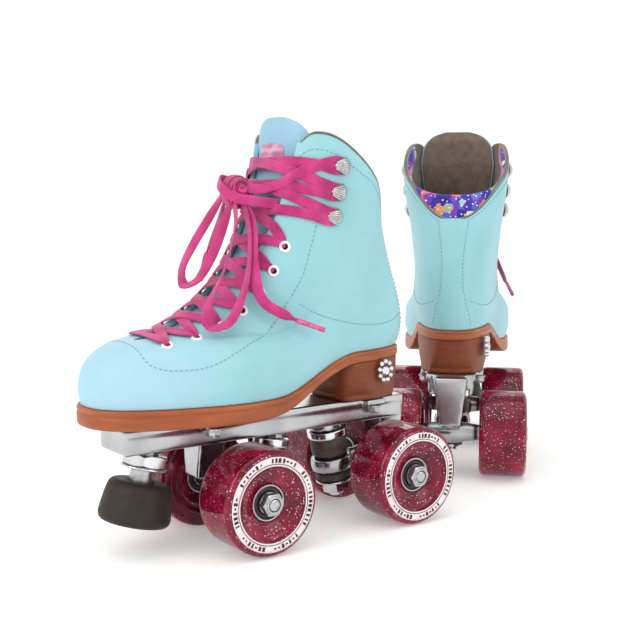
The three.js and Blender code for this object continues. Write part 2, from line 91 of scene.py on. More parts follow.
def linear(colour):
    """An sRGB hex colour as linear RGBA."""
    parts = [int(colour[i:i + 2], 16) / 255 for i in (1, 3, 5)]
    return (*[c / 12.92 if c <= 0.04045 else ((c + 0.055) / 1.055) ** 2.4 for c in parts], 1)


def node(tree, kind, inputs=None, stops=(), to=None, **settings):
    """Adds a shader node with its settings and links: inputs are values or nodes' outputs,
    stops are a ramp's (position, hex colour) pairs, and to is where its first output goes."""
    made = tree.nodes.new("ShaderNode" + kind)
    for name, value in settings.items():
        setattr(made, name, value)
    for name, value in (inputs or {}).items():
        if isinstance(value, bpy.types.NodeSocket):
            tree.links.new(value, made.inputs[name])
        else:
            made.inputs[name].default_value = value
    for k, (position, colour) in enumerate(stops):
        element = made.color_ramp.elements[k] if k < 2 else made.color_ramp.elements.new(position)
        element.position = position
        element.color = linear(colour)
    if to:
        tree.links.new(made.outputs[0], to)
    return made


def finish(name, **constants):
    """A new material, its shader with fixed values on its own sockets, and the place shaded."""
    material = bpy.data.materials.new(name)
    material.use_nodes = True
    tree = material.node_tree
    shader = tree.nodes["Principled BSDF"]
    for socket, value in constants.items():
        shader.inputs[socket.replace("_", " ")].default_value = value
    return material, tree, shader, node(tree, "TexCoord").outputs["Object"]


def grain(size_mm):
    """The scale that makes a pattern's features this large, for coordinates in metres."""
    return 1000 / size_mm


def mottled(name, size_mm, detail, stops, gloss=(), relief=(), **constants):
    """A material whose tint follows one soft noise, and its gloss and relief too if given."""
    material, tree, shader, place = finish(name, **constants)
    noise = node(tree, "TexNoise", {"Vector": place, "Scale": grain(size_mm), "Detail": detail})
    tone = noise.outputs["Fac"]
    node(tree, "ValToRGB", {"Fac": tone}, stops, shader.inputs["Base Color"])
    if gloss:
        limits = {"Value": tone, "To Min": gloss[0], "To Max": gloss[1]}
        node(tree, "MapRange", limits, to=shader.inputs["Roughness"])
    if relief:
        bumps = {"Height": tone, "Strength": relief[0], "Distance": relief[1]}
        node(tree, "Bump", bumps, to=shader.inputs["Normal"])
    return material


# Lit from behind, as a product table is, so that it stays white where less light falls.
sweep_paper = mottled("paper_matt_white", 90, 3.0, [(0.3, "#F1F0EE"), (0.7, "#F6F5F3")], Roughness=0.9,
                      Specular_IOR_Level=0.1, Emission_Color=(1, 1, 1, 1), Emission_Strength=0.26)

sweep_radius, sweep_bend, sweep_height = 3.0, 1.2, 3.2
profile = [(0.0, 0.0), (sweep_radius - sweep_bend, 0.0)]
profile += [(sweep_radius - sweep_bend * (1 - math.sin(t)), sweep_bend * (1 - math.cos(t)))
            for t in [math.pi / 2 * k / 12 for k in range(1, 13)]]
profile.append((sweep_radius, sweep_height))
floor_mesh = bmesh.new()
start = [floor_mesh.verts.new((r, 0, z)) for r, z in profile]
edges = [floor_mesh.edges.new(pair) for pair in zip(start, start[1:])]
bmesh.ops.spin(floor_mesh, geom=start + edges, cent=(0, 0, 0), axis=(0, 0, 1), angle=2 * math.pi, steps=96)
bmesh.ops.remove_doubles(floor_mesh, verts=floor_mesh.verts, dist=0.0005)
bmesh.ops.recalc_face_normals(floor_mesh, faces=floor_mesh.faces)
bmesh.ops.reverse_faces(floor_mesh, faces=floor_mesh.faces)
sweep_data = bpy.data.meshes.new("sweep")
floor_mesh.to_mesh(sweep_data)
floor_mesh.free()
for polygon in sweep_data.polygons:
    polygon.use_smooth = True
sweep_data.materials.append(sweep_paper)
sweep = bpy.data.objects.new("sweep", sweep_data)
bpy.context.scene.collection.objects.link(sweep)
sweep.location = (0, 0, -0.0004)

lights = [
    ("overhead_softbox", (0.1, -0.2, 1.5), 1.6, 10, "#FFFFFF"),
    ("key_softbox", (0.3, -1.5, 0.9), 0.9, 7, "#FFFDF9"),
    ("side_softbox", (1.5, 0.5, 0.8), 0.8, 3.5, "#F7FAFF"),
    ("back_softbox", (-1.3, 0.8, 1.0), 1.0, 3.5, "#FFFFFF"),
]
for name, where, size, power, colour in lights:
    lamp = bpy.data.lights.new(name, "AREA")
    lamp.shape, lamp.size, lamp.energy = "SQUARE", size, power
    lamp.color = linear(colour)[:3]
    light = bpy.data.objects.new(name, lamp)
    bpy.context.scene.collection.objects.link(light)
    light.location = where
    light.rotation_mode = "QUATERNION"
    light.rotation_quaternion = (Vector((0, 0, 0.12)) - light.location).to_track_quat("-Z", "Y")
studio_air = bpy.data.worlds.new("studio_air")
studio_air.use_nodes = True
studio_air.node_tree.nodes["Background"].inputs["Color"].default_value = linear("#FFFFFF")
studio_air.node_tree.nodes["Background"].inputs["Strength"].default_value = 0.4
bpy.context.scene.world = studio_air
bpy.context.scene.view_settings.view_transform = "Standard"


# ---- Boot upper ---------------------------------------------------------------------
# A high boot of smooth full-grain leather, lasted over a form and cemented to its sole. It is
# open down the front for the tongue, and its cuff falls towards the heel.

boot_base, heel_rise, cuff_height = 92.6, 21.0, 162.0
plan_roundness = 2.4
toe_swing = 6.0
arch_start, arch_end = -42.0, 30.0
# Cross-sections from the sole up: the y and height share of the front and of the back, and
# the half-widths over the ball and over the heel.
boot_sections = np.array((
    (-148, 0.000, 77.0, 0.000, 44.0, 30.0),
    (-149, 0.066, 80.0, 0.075, 46.5, 33.0),
    (-145, 0.146, 80.0, 0.160, 45.5, 33.5),
    (-135, 0.200, 77.5, 0.245, 41.0, 33.0),
    (-119, 0.232, 73.5, 0.330, 36.0, 33.0),
    (-101, 0.253, 69.0, 0.415, 33.0, 33.5),
    (-82, 0.314, 64.5, 0.500, 32.0, 35.0),
    (-60, 0.422, 60.0, 0.585, 33.0, 37.0),
    (-38, 0.625, 56.0, 0.678, 36.0, 39.5),
    (-26, 0.850, 54.0, 0.828, 39.0, 41.5),
    (-20, 1.080, 54.0, 1.050, 40.0, 42.0),
    (-18, 1.190, 55.0, 1.190, 40.0, 42.0)))
front_line = np.column_stack((boot_sections[:, 0], boot_base + boot_sections[:, 1] * cuff_height))
back_line = np.column_stack((
    boot_sections[:, 2], boot_base + heel_rise + boot_sections[:, 3] * (cuff_height - heel_rise)))
width_line = boot_sections[:, 4:6]


def smooth_step(start, end, value):
    """0 before start, 1 after end, and an even S between."""
    t = np.clip((value - start) / (end - start), 0, 1)
    return t * t * (3 - 2 * t)


def on_curve(knots, share):
    """The point at share (0 to 1) of the centripetal Catmull-Rom curve through these."""
    last = len(knots) - 1
    span = min(int(share * last), last - 1)
    b, c = knots[span], knots[span + 1]
    a = knots[span - 1] if span else 2 * b - c
    d = knots[span + 2] if span + 2 <= last else 2 * c - b
    gaps = [max(math.sqrt(np.linalg.norm(q - p)), 1e-4) for p, q in ((a, b), (b, c), (c, d))]
    weight = share * last - span
    start = ((b - a) / gaps[0] - (c - a) / (gaps[0] + gaps[1]) + (c - b) / gaps[1]) * gaps[1]
    end = ((c - b) / gaps[1] - (d - b) / (gaps[1] + gaps[2]) + (d - c) / gaps[2]) * gaps[1]
    cubic = 2 * b - 2 * c + start + end
    square = 3 * c - 3 * b - 2 * start - end
    return b + weight * (start + weight * (square + weight * cubic))


def rounded(value):
    """Bends a sine or cosine so that a ring is fuller than an ellipse."""
    return np.sign(value) * np.abs(value) ** (2 / plan_roundness)


def arch_height(y, low, high):
    """The height of a level between the toe's and the heel's, which follows the arch."""
    return low + (high - low) * smooth_step(arch_start, arch_end, y)


def boot_ring(level, turns, inset=0.0):
    """Points of the boot's skin at a level (0 sole, 1 top), by angle from the toe."""
    ends = []
    for line, hand in ((front_line, 1), (back_line, -1)):
        near, far = on_curve(line, max(level - 1e-4, 0)), on_curve(line, min(level + 1e-4, 1))
        way = (far - near) / np.linalg.norm(far - near)
        ends.append(on_curve(line, level) + hand * inset * np.array((way[1], -way[0])))
    (front_y, front_z), (back_y, back_z) = ends
    ball, heel = on_curve(width_line, level)
    along = (1 - rounded(np.cos(turns))) / 2
    y = front_y + (back_y - front_y) * along
    half = ball + (heel - ball) * smooth_step(0.3, 0.72, along) - inset
    x = -toe_swing * smooth_step(arch_start, -149, y) + half * rounded(np.sin(turns))
    return np.column_stack((x, y, arch_height(y, front_z, back_z)))


def bisect(low, high, rounds, falls_short):
    """Where falls_short(value) stops being true, between low and high."""
    for _ in range(rounds):
        middle = (low + high) / 2
        low, high = (middle, high) if falls_short(middle) else (low, middle)
    return low


throat_outline = np.array(((5.5, 0.237), (9, 0.32), (13, 0.46), (19, 0.66), (25, 1.0), (30, 1.3)))
throat_low, throat_round = 130.3, 4.6
cuff_drop, cuff_front, cuff_back, cuff_corner = 41.0, -8.0, 62.0, 7.0
band_rise = 17.0


def throat_half(z):
    """Half the width of the boot's front opening at a height; its lower end is rounded."""
    wide = np.interp(z, boot_base + throat_outline[:, 1] * cuff_height, throat_outline[:, 0])
    deep = np.clip((z - throat_low) / throat_round, 0, 1)
    return wide * np.sqrt(1 - (1 - deep) ** 2)


def throat_turn(level, hand):
    """The angle from the toe at which a ring meets the front opening's edge on one hand."""
    def inside_edge(turn):
        x, _y, z = boot_ring(level, np.array([turn]))[0]
        return x < hand * throat_half(z)

    return bisect(-1.45, 1.45, 30, inside_edge)


def cuff_line(y):
    """The height of the cuff's edge at y."""
    return boot_base + cuff_height - cuff_drop * smooth_step(cuff_front, cuff_back, y)


boot_columns, boot_rows = 128, 84
level_choices = np.linspace(0, 1, 221)
throat_starts = np.array([throat_turn(level, 1) for level in level_choices])
throat_ends = np.array([throat_turn(level, -1) for level in level_choices]) + 2 * math.pi


def upper_point(share, level):
    """A point of the upper: share runs round from throat edge to throat edge."""
    start = np.interp(level, level_choices, throat_starts)
    end = np.interp(level, level_choices, throat_ends)
    return boot_ring(level, np.array([start + (end - start) * share]))[0]


def leather_dip(share):
    """How far below the cuff's edge the leather ends, where the padded band shows at the rear."""
    return band_rise * (1 - smooth_step(0.0, 0.2, abs(share - 0.5)))


def cuff_level(share, below=0.0):
    """The level this far below the cuff's edge, whose front corners are rounded off."""
    edge = min(share, 1 - share)
    corner = cuff_corner * (1 - smooth_step(0, 0.07, edge)) ** 2

    def too_low(level):
        _x, y, z = upper_point(share, level)
        return z < cuff_line(y) - corner - below

    return bisect(0.6, 1.0, 26, too_low)


grain_leather, tree, shader, place = finish(
    "full_grain_leather_aqua", Roughness=0.5, IOR=1.5, Specular_IOR_Level=0.4,
    Sheen_Weight=0.06, Coat_Weight=0.08, Coat_Roughness=0.45)
# Pigmented calf: a soft even gloss, fine pebbles about 1 mm across, and a slow drift in tone.
toeward = node(tree, "Attribute", attribute_name="boot_toeward").outputs["Fac"]
drift = node(tree, "TexNoise", {"Vector": place, "Scale": grain(55), "Detail": 4.0}).outputs["Fac"]
pebble = node(tree, "TexVoronoi", {"Vector": place, "Scale": grain(1.3)}).outputs["Distance"]
crease = node(tree, "TexNoise", {"Vector": place, "Scale": grain(7), "Detail": 6.0, "Roughness": 0.6})
tone = node(tree, "Math", {0: toeward, 1: 0.75, 2: drift}, operation="MULTIPLY_ADD").outputs[0]
node(tree, "ValToRGB", {"Fac": tone}, to=shader.inputs["Base Color"],
     stops=[(0.3, "#89BFC7"), (0.55, "#92C7D0"), (1.0, "#9FC9DA")])
skin = node(tree, "Math", {0: crease.outputs["Fac"], 1: 0.8, 2: pebble}, operation="MULTIPLY_ADD")
node(tree, "MapRange", {"Value": drift, "To Min": 0.44, "To Max": 0.56}, to=shader.inputs["Roughness"])
node(tree, "Bump", {"Height": skin.outputs[0], "Strength": 0.22, "Distance": 0.0004},
     to=shader.inputs["Normal"])

lining_suede, tree, shader, place = finish(
    "suede_lining_taupe", Roughness=0.9, Sheen_Weight=0.4, Sheen_Roughness=0.6)
# A brushed nap: no gloss, and strokes of lighter and darker pile about 6 mm long.
nap = node(tree, "TexNoise", {"Vector": place, "Scale": grain(6), "Detail": 5.0, "Distortion": 0.6})
pile = node(tree, "TexNoise", {"Vector": place, "Scale": grain(0.8), "Detail": 2.0}).outputs["Fac"]
node(tree, "ValToRGB", {"Fac": nap.outputs["Fac"]}, to=shader.inputs["Base Color"],
     stops=[(0.3, "#57493D"), (0.7, "#735F50")])
node(tree, "Bump", {"Height": pile, "Strength": 0.4, "Distance": 0.0003}, to=shader.inputs["Normal"])


def make_piece(name, mesh, materials, body, side, attributes=None, picks=None):
    """A smooth piece on a CAD body, from points in a skate's millimetres and their faces."""
    points, faces = mesh
    data = bpy.data.meshes.new(name)
    turned = [tuple(reversed(f)) for f in faces] if side == "right" else [tuple(f) for f in faces]
    data.from_pydata([tuple(to_pair(side, p)) for p in points], [], turned)
    for label, values in (attributes or {}).items():
        marks = data.attributes.new(label, "FLOAT", "POINT")
        marks.data.foreach_set("value", np.array(values, dtype=np.float32))
    data.polygons.foreach_set("use_smooth", [True] * len(data.polygons))
    for material in materials if isinstance(materials, list) else [materials]:
        data.materials.append(material)
    if picks:
        data.polygons.foreach_set("material_index", picks)
    made = bpy.data.objects.new(name, data)
    bpy.context.scene.collection.objects.link(made)
    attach(made, body)
    return made


def grid_faces(rows, columns, closed=False):
    """Faces of a grid whose points run along its columns first."""
    across = columns if closed else columns - 1
    return [(i * columns + j, i * columns + (j + 1) % columns, (i + 1) * columns + (j + 1) % columns,
             (i + 1) * columns + j) for i in range(rows - 1) for j in range(across)]


def add_modifier(piece, kind, **settings):
    """Adds a modifier to a piece, with its settings."""
    made = piece.modifiers.new(kind.lower(), kind)
    for name, value in settings.items():
        setattr(made, name, value)
    return made


column_shares = [j / (boot_columns - 1) for j in range(boot_columns)]
leather_levels = [cuff_level(share, leather_dip(share)) for share in column_shares]
upper_points = []
for i in range(boot_rows):
    for share, leather_top in zip(column_shares, leather_levels):
        upper_points.append(upper_point(share, leather_top * i / (boot_rows - 1)))
upper_points = np.array(upper_points)
# Flexing has left shallow folds over the ankle's front, on both sides of the laces.
fold_depth, fold_pitch = 0.55, 13.0
slope = (upper_points[:, 1] + upper_points[:, 2]) / math.sqrt(2)
fold_y, fold_z, fold_reach = -38, 140, 26
near_bend = np.exp(-(((upper_points[:, 1] - fold_y) / fold_reach) ** 2)
                   - (((upper_points[:, 2] - fold_z) / fold_reach) ** 2))
folds = near_bend * np.sin(2 * math.pi * slope / fold_pitch)
upper_points[:, 0] -= np.sign(upper_points[:, 0]) * fold_depth * folds
leather_thick = 3.0
# The closed last: the boot's outline with no front opening, which lacing and seams are laid on.
last_columns, last_rows = 96, 90
last_turns = np.linspace(0, 2 * math.pi, last_columns, endpoint=False)
last_points = np.concatenate([boot_ring(i / (last_rows - 1), last_turns) for i in range(last_rows)])
last_skin = BVHTree.FromPolygons(
    [tuple(p) for p in last_points], grid_faces(last_rows, last_columns, closed=True))

# Footbed: a padded insole over the lasting board, curved up at its rim.
footbed_rows, bed_rest, bed_curl = 14, 4.2, 2.5
rim_ring = boot_ring(0.03, last_turns, inset=3.4)
middle_y = rim_ring[:, 1].mean()
spine = np.column_stack((
    -toe_swing * smooth_step(arch_start, -149, rim_ring[:, 1]), rim_ring[:, 1], rim_ring[:, 2]))
spine[:, 1] = middle_y + (rim_ring[:, 1] - middle_y) * 0.8
spine[:, 2] = arch_height(spine[:, 1], boot_base, boot_base + heel_rise)
bed = []
for i in range(footbed_rows):
    out = i / (footbed_rows - 1)
    row = spine + (rim_ring - spine) * out
    row[:, 2] = arch_height(row[:, 1], boot_base, boot_base + heel_rise) + bed_rest + bed_curl * out ** 4
    bed.append(row)
bed_faces = grid_faces(footbed_rows, last_columns, closed=True)
bed_faces += [(j, j + 1, last_columns - j - 1, (last_columns - j) % last_columns)
              for j in range(last_columns // 2)]

for side in skates:
    shell = make_piece(
        f"{side}_leather_upper", (upper_points, grid_faces(boot_rows, boot_columns)),
        [grain_leather, lining_suede], "root", side,
        {"boot_toeward": smooth_step(-60, -150, upper_points[:, 1])})
    edit = bmesh.new()
    edit.from_mesh(shell.data)
    bmesh.ops.remove_doubles(edit, verts=edit.verts, dist=0.00003)
    edit.to_mesh(shell.data)
    edit.free()
    add_modifier(shell, "SOLIDIFY", thickness=leather_thick * 0.001, offset=-1, material_offset=1,
                 use_even_offset=True)
    add_modifier(shell, "BEVEL", width=0.0009, segments=2, limit_method="ANGLE",
                 angle_limit=math.radians(50))
    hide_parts(f"{side}_boot_upper")
    footbed = make_piece(
        f"{side}_footbed", (np.concatenate(bed), bed_faces), lining_suede, "root", side)
    add_modifier(footbed, "SOLIDIFY", thickness=0.0018, offset=1)


# ---- Cuff lining band ---------------------------------------------------------------
# A strip of bright printed cotton over thin foam, sewn round the inside of the cuff. At the
# rear it stands above the leather as a padded roll; a strip of suede binds the leather's edge.

print_cotton, tree, shader, place = finish(
    "cotton_printed_bright", Roughness=0.85, Sheen_Weight=0.2, Sheen_Roughness=0.5)
# An abstract print: blots of violet, blue, pink and orange 5 mm across, with small pale dots.
warp = node(tree, "TexNoise", {"Vector": place, "Scale": grain(12), "Detail": 2.0}).outputs["Color"]
bent = node(tree, "VectorMath", {0: warp, 1: (0.006, 0.006, 0.006), 2: place}, operation="MULTIPLY_ADD")
blot = node(tree, "TexVoronoi", {"Vector": bent.outputs["Vector"], "Scale": grain(6)})
hue = node(tree, "SeparateColor", {"Color": blot.outputs["Color"]}).outputs["Red"]
inks = node(tree, "ValToRGB", {"Fac": hue}, stops=[
    (0.0, "#23207A"), (0.22, "#3E2FA8"), (0.4, "#7A35B5"), (0.55, "#2E6FD0"), (0.68, "#E04C9B"),
    (0.8, "#E8862E"), (0.9, "#37B8B0"), (0.97, "#F2E9D6")]).outputs[0]
dots = node(tree, "TexVoronoi", {"Vector": place, "Scale": grain(3.1)}).outputs["Distance"]
small = node(tree, "Math", {0: dots, 1: 0.2}, operation="LESS_THAN").outputs[0]
mixed = node(tree, "Mix", {"Factor": small, "A": inks}, data_type="RGBA")
mixed.inputs["B"].default_value = linear("#F3E4C8")
tree.links.new(mixed.outputs["Result"], shader.inputs["Base Color"])
thread = node(tree, "TexNoise", {"Vector": place, "Scale": grain(0.6), "Detail": 1.0}).outputs["Fac"]
node(tree, "Bump", {"Height": thread, "Strength": 0.3, "Distance": 0.0002}, to=shader.inputs["Normal"])

leg_middle_y = 15


def at_edge(share, level, reach):
    """A point of the cuff's edge with its ways in to the leg and down the leather."""
    point = upper_point(share, level)
    fall = Vector(upper_point(share, level - reach) - point).normalized()
    beside = Vector(upper_point(share + 0.01, level) - upper_point(share - 0.01, level))
    inward = fall.cross(beside).normalized()
    legward = Vector((-point[0], leg_middle_y - point[1], 0))
    return Vector(point), inward if inward.dot(legward) > 0 else -inward, fall


band_depth, band_columns, band_rows = 24.0, 96, 26
band_start = 0.10
band_points = []
for i in range(band_rows):
    for j in range(band_columns):
        share = band_start + (1 - 2 * band_start) * j / (band_columns - 1)
        taper = math.sin(math.pi * j / (band_columns - 1)) ** 0.35
        rise = leather_dip(share)
        point, inward, fall = at_edge(share, cuff_level(share), 0.1)
        # The section, as (distance in, distance down): at the rear it swells over the edge,
        # and at the sides it only lines the inside.
        over = np.array((
            (1.9, rise + 2.5), (1.6, rise + 0.4), (0.6, rise * 0.7), (0.5, rise * 0.35), (0.9, 1.1),
            (2.8, 0.0), (5.2, 1.6), (6.4, 7.0), (6.0, 14.0), (4.4, 20.0), (3.1, band_depth)))
        inside_only = np.array((
            (3.0, 4.2), (3.0, 3.6), (3.0, 3.0), (3.05, 2.5), (3.1, 2.1), (3.4, 1.8),
            (4.3, 2.9), (5.6, 7.0), (5.4, 14.0), (4.2, 20.0), (3.1, band_depth)))
        rolled = smooth_step(0.5, 6.0, rise)
        section = over * rolled + inside_only * (1 - rolled)
        section[6:, 1] *= 0.35 + 0.65 * taper
        section[6:, 0] = 3.1 + (section[6:, 0] - 3.1) * taper
        away, depth = on_curve(section, i / (band_rows - 1))
        band_points.append(point + inward * away + fall * depth)
# The leather's own top edge is bound with a narrow strip of the lining, glued and sewn.
binding_section = (
    (-0.15, 1.7), (-0.3, 0.7), (0.1, -0.15), (1.5, -0.45), (2.9, -0.15), (3.3, 0.7), (3.15, 1.9))
binding_columns = 120
binding_points = []
for away, depth in binding_section:
    for j in range(binding_columns):
        share = 0.012 + 0.976 * j / (binding_columns - 1)
        point, inward, fall = at_edge(share, cuff_level(share, leather_dip(share)), 0.05)
        binding_points.append(point + inward * away + fall * depth)
binding_mesh = (binding_points, grid_faces(len(binding_section), binding_columns))
band_mesh = (band_points, grid_faces(band_rows, band_columns))
for side in skates:
    binding = make_piece(f"{side}_cuff_binding", binding_mesh, lining_suede, "root", side)
    add_modifier(binding, "SUBSURF", levels=1, render_levels=1)
    band = make_piece(f"{side}_cuff_band", band_mesh, print_cotton, "root", side)
    add_modifier(band, "SOLIDIFY", thickness=0.0006, offset=0)
    add_modifier(band, "SUBSURF", levels=1, render_levels=1)


# ---- Tongue -------------------------------------------------------------------------
# Two layers of leather over foam, sewn at the edge, lined with the same suede as the boot.
# It rises above the cuff, and a plain woven patch is sewn near its top.

tongue_outline = np.array((
    (12, 0.215), (17, 0.32), (21, 0.46), (26, 0.66), (30, 0.9), (28, 1.0), (21, 1.05), (10, 1.072)))
tongue_leather, tree, shader, place = finish(
    "full_grain_leather_sky", Roughness=0.48, IOR=1.5, Specular_IOR_Level=0.4)
# The same calf dyed a shade bluer, with finer pebbles because the skin is split thin.
drift = node(tree, "TexNoise", {"Vector": place, "Scale": grain(40), "Detail": 4.0}).outputs["Fac"]
pebble = node(tree, "TexVoronoi", {"Vector": place, "Scale": grain(1.0)}).outputs["Distance"]
node(tree, "ValToRGB", {"Fac": drift}, to=shader.inputs["Base Color"],
     stops=[(0.3, "#82AFC8"), (0.7, "#92BBD1")])
node(tree, "Bump", {"Height": pebble, "Strength": 0.2, "Distance": 0.0003}, to=shader.inputs["Normal"])

tongue_rows, tongue_columns = 64, 25
tongue_foam, tongue_rim, tongue_sunk = 6.2, 1.6, 3.4
tongue_heights = np.linspace(0.215, 1.072, tongue_rows)


def front_level(height_share):
    """The level whose ring starts at this share of the cuff's height."""
    return bisect(0.0, 1.0, 30, lambda level: (
        on_curve(front_line, level)[1] - boot_base) / cuff_height < height_share)


def turn_at(level, x, inset):
    """The angle from the toe at which a ring is this far across."""
    return bisect(-1.5, 1.5, 26, lambda turn: boot_ring(level, np.array([turn]), inset)[0][0] < x)


tongue_front, tongue_back = [], []
for share in tongue_heights:
    level_here = front_level(share)
    half = np.interp(share, tongue_outline[:, 1], tongue_outline[:, 0])
    top_round = math.sqrt(max(1 - max((share - 0.97) / 0.103, 0) ** 2, 0.0))
    half = min(half, 30.0) if share < 0.97 else 6 + 22.5 * top_round
    start, end = turn_at(level_here, half, tongue_sunk), turn_at(level_here, -half, tongue_sunk)
    for j in range(tongue_columns):
        u = j / (tongue_columns - 1)
        edge = 1 - abs(2 * u - 1) ** 4
        top_edge = 1 - smooth_step(1.02, 1.072, share) * 0.8
        foam = tongue_rim + (tongue_foam - tongue_rim) * edge * top_edge
        turn = np.array([start + (end - start) * u])
        bulge = 1.5 * edge * smooth_step(0.9, 1.0, share)
        tongue_front.append(boot_ring(level_here, turn, tongue_sunk - bulge)[0])
        tongue_back.append(boot_ring(level_here, turn, tongue_sunk - bulge + foam)[0])
sheet_size = len(tongue_front)
tongue_faces = grid_faces(tongue_rows, tongue_columns)
front_count = len(tongue_faces)
tongue_faces += [tuple(reversed([k + sheet_size for k in f])) for f in tongue_faces[:front_count]]
rim = list(range(tongue_columns))
rim += [i * tongue_columns + tongue_columns - 1 for i in range(1, tongue_rows)]
rim += [(tongue_rows - 1) * tongue_columns + j for j in range(tongue_columns - 2, -1, -1)]
rim += [i * tongue_columns for i in range(tongue_rows - 2, 0, -1)]
tongue_faces += [(b, a, a + sheet_size, b + sheet_size) for a, b in zip(rim, rim[1:] + rim[:1])]
tongue_picks = [0] * front_count + [1] * front_count + [0] * len(rim)
for side in skates:
    pad = make_piece(f"{side}_tongue_pad", (tongue_front + tongue_back, tongue_faces),
                     [tongue_leather, lining_suede], "root", side, picks=tongue_picks)
    add_modifier(pad, "SUBSURF", levels=1, render_levels=1)
    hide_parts(f"{side}_tongue")

# Tongue patch: a plain woven label, folded at its edges and sewn flat near the top.
label_weave, tree, shader, place = finish(
    "polyester_label_woven", Roughness=0.7, Sheen_Weight=0.3, Sheen_Roughness=0.5)
# Satin weave in two pinks: fine level ribs 0.8 mm apart, over broad soft bands of tone.
ribs = node(tree, "TexWave", {"Vector": place, "Scale": grain(0.8) / 20, "Distortion": 0.6},
            bands_direction="Z").outputs["Fac"]
bands = node(tree, "TexNoise", {"Vector": place, "Scale": grain(8), "Detail": 1.0}).outputs["Fac"]
tint = node(tree, "Math", {0: ribs, 1: 0.2, 2: bands}, operation="MULTIPLY_ADD").outputs[0]
node(tree, "ValToRGB", {"Fac": tint}, to=shader.inputs["Base Color"],
     stops=[(0.4, "#B0688F"), (0.6, "#C588A8"), (0.8, "#D9AFC6")])
node(tree, "Bump", {"Height": ribs, "Strength": 0.4, "Distance": 0.0002}, to=shader.inputs["Normal"])

patch_half_wide, patch_half_tall, patch_height, patch_thick = 13.0, 9.0, 239.0, 0.9
patch_columns, patch_rows = 25, 19
tongue_skin = BVHTree.FromPolygons(
    [tuple(p) for p in tongue_front], grid_faces(tongue_rows, tongue_columns))
patch_points = []
for i in range(patch_rows):
    up = 2 * i / (patch_rows - 1) - 1
    half = patch_half_wide * (1 - abs(up) ** 6) ** 0.4 + 0.01
    for j in range(patch_columns):
        across = 2 * j / (patch_columns - 1) - 1
        from_front = Vector((half * across, -90, patch_height + patch_half_tall * up))
        there, way_out, _face, _far = tongue_skin.ray_cast(from_front, Vector((0, 1, 0)))
        way_out = way_out if way_out.y < 0 else -way_out
        sewn_down = smooth_step(0.8, 1.0, max(abs(across), abs(up)))
        patch_points.append(there + way_out * (0.2 + patch_thick * (1 - 0.75 * sewn_down)))
patch_mesh = (patch_points, grid_faces(patch_rows, patch_columns))
for side in skates:
    patch = make_piece(f"{side}_tongue_patch", patch_mesh, label_weave, "root", side)
    add_modifier(patch, "SOLIDIFY", thickness=0.0007, offset=-1)


# ---- Seams and back stay ------------------------------------------------------------
# Rows of lockstitch in thread dyed to the leather: round the lacing's facings, over the
# heel counter and round the cuff. A narrow strip of leather covers the seam at the back.

# Twisted and waxed: its colour is set a shade darker than the leather all over, as painted shade of the
# stitch holes it lies in.
bonded_thread = mottled("nylon_thread_aqua_painted_shade", 1.1, 2.0, [(0.35, "#5E97A3"), (0.65, "#74ABB6")],
                        Roughness=0.55, Sheen_Weight=0.2)

facing_seam = (
    (0, -123.5, 128), (14, -123.5, 126), (28, -120.7, 118), (32, -115.2, 115.7), (36, -105.7, 114.7),
    (38, -88.8, 116.3), (37, -71.1, 121.7), (34, -44.2, 134.3), (34, -30, 150), (34, -19, 166),
    (35, -13, 185), (37, -8.5, 203))
counter_seam = (
    (34, -22, 149), (34, -8, 141.5), (33, 7.4, 136.7), (31, 34.8, 131.3), (28, 60, 131), (12, 76, 136))
stay_half = ((0.02, 17.0), (0.18, 14.0), (0.38, 9.5), (0.6, 8.5), (0.8, 10.5), (1.0, 13.0))
stitch_pitch, stitch_long, stitch_thick, stitch_step = 3.1, 2.2, 0.34, 0.5


def smooth_route(points, step):
    """Points about a step apart on the smooth curve through these."""
    knots = np.array([tuple(p) for p in points], dtype=float)
    spans = len(knots) - 1
    fine = np.array([on_curve(knots, k / (spans * 24)) for k in range(spans * 24 + 1)])
    gone = np.concatenate(((0,), np.cumsum(np.linalg.norm(np.diff(fine, axis=0), axis=1))))
    count = max(2, round(gone[-1] / step))
    marks = np.linspace(0, gone[-1], count + 1)
    return [Vector([np.interp(m, gone, fine[:, axis]) for axis in range(3)]) for m in marks]


def on_last(point, lift=0.0):
    """The nearest place on the boot's outside, raised by lift, and its way out."""
    there, way_out, _face, _far = last_skin.find_nearest(Vector(point))
    middle = Vector((0, min(max(there.y, -105), 25), there.z - 12))
    way_out = -way_out if way_out.dot(there - middle) < 0 else way_out
    return there + way_out * lift, way_out


def stitches(route, lift=0.12):
    """Points and faces of a row of stitches laid on the boot."""
    shapes = []
    line = smooth_route(route, stitch_step)
    skip, reach = round(stitch_pitch / stitch_step), round(stitch_long / stitch_step)
    for start in range(0, len(line) - reach, skip):
        a, b = on_last(line[start], lift)[0], on_last(line[start + reach], lift)[0]
        long = (b - a).length
        if long < 0.5:
            continue
        spindle = [(0, 0), (0.8, 0.15), (1, 0.5), (0.8, 0.85), (0, 1)]
        shapes.append(turn_round([(stitch_thick * r, d * long) for r, d in spindle], 6, a, b - a))
    return join_shapes(shapes)


def turn_round(profile, steps, centre, axis):
    """Points and faces of (radius, distance) pairs turned about an axis through centre."""
    axis, centre = Vector(axis).normalized(), Vector(centre)
    first = Vector((1, 0, 0)) if abs(axis.x) < 0.9 else Vector((0, 1, 0))
    first = (first - axis * first.dot(axis)).normalized()
    second = axis.cross(first)
    points = []
    for radius, distance in profile:
        for k in range(steps):
            turn = 2 * math.pi * k / steps
            spoke = first * math.cos(turn) + second * math.sin(turn)
            points.append(centre + axis * distance + spoke * radius)
    return points, grid_faces(len(profile), steps, closed=True)


def join_shapes(shapes):
    """Several (points, faces) as one."""
    points, faces = [], []
    for more_points, more_faces in shapes:
        faces += [tuple(k + len(points) for k in f) for f in more_faces]
        points += [tuple(p) for p in more_points]
    return points, faces


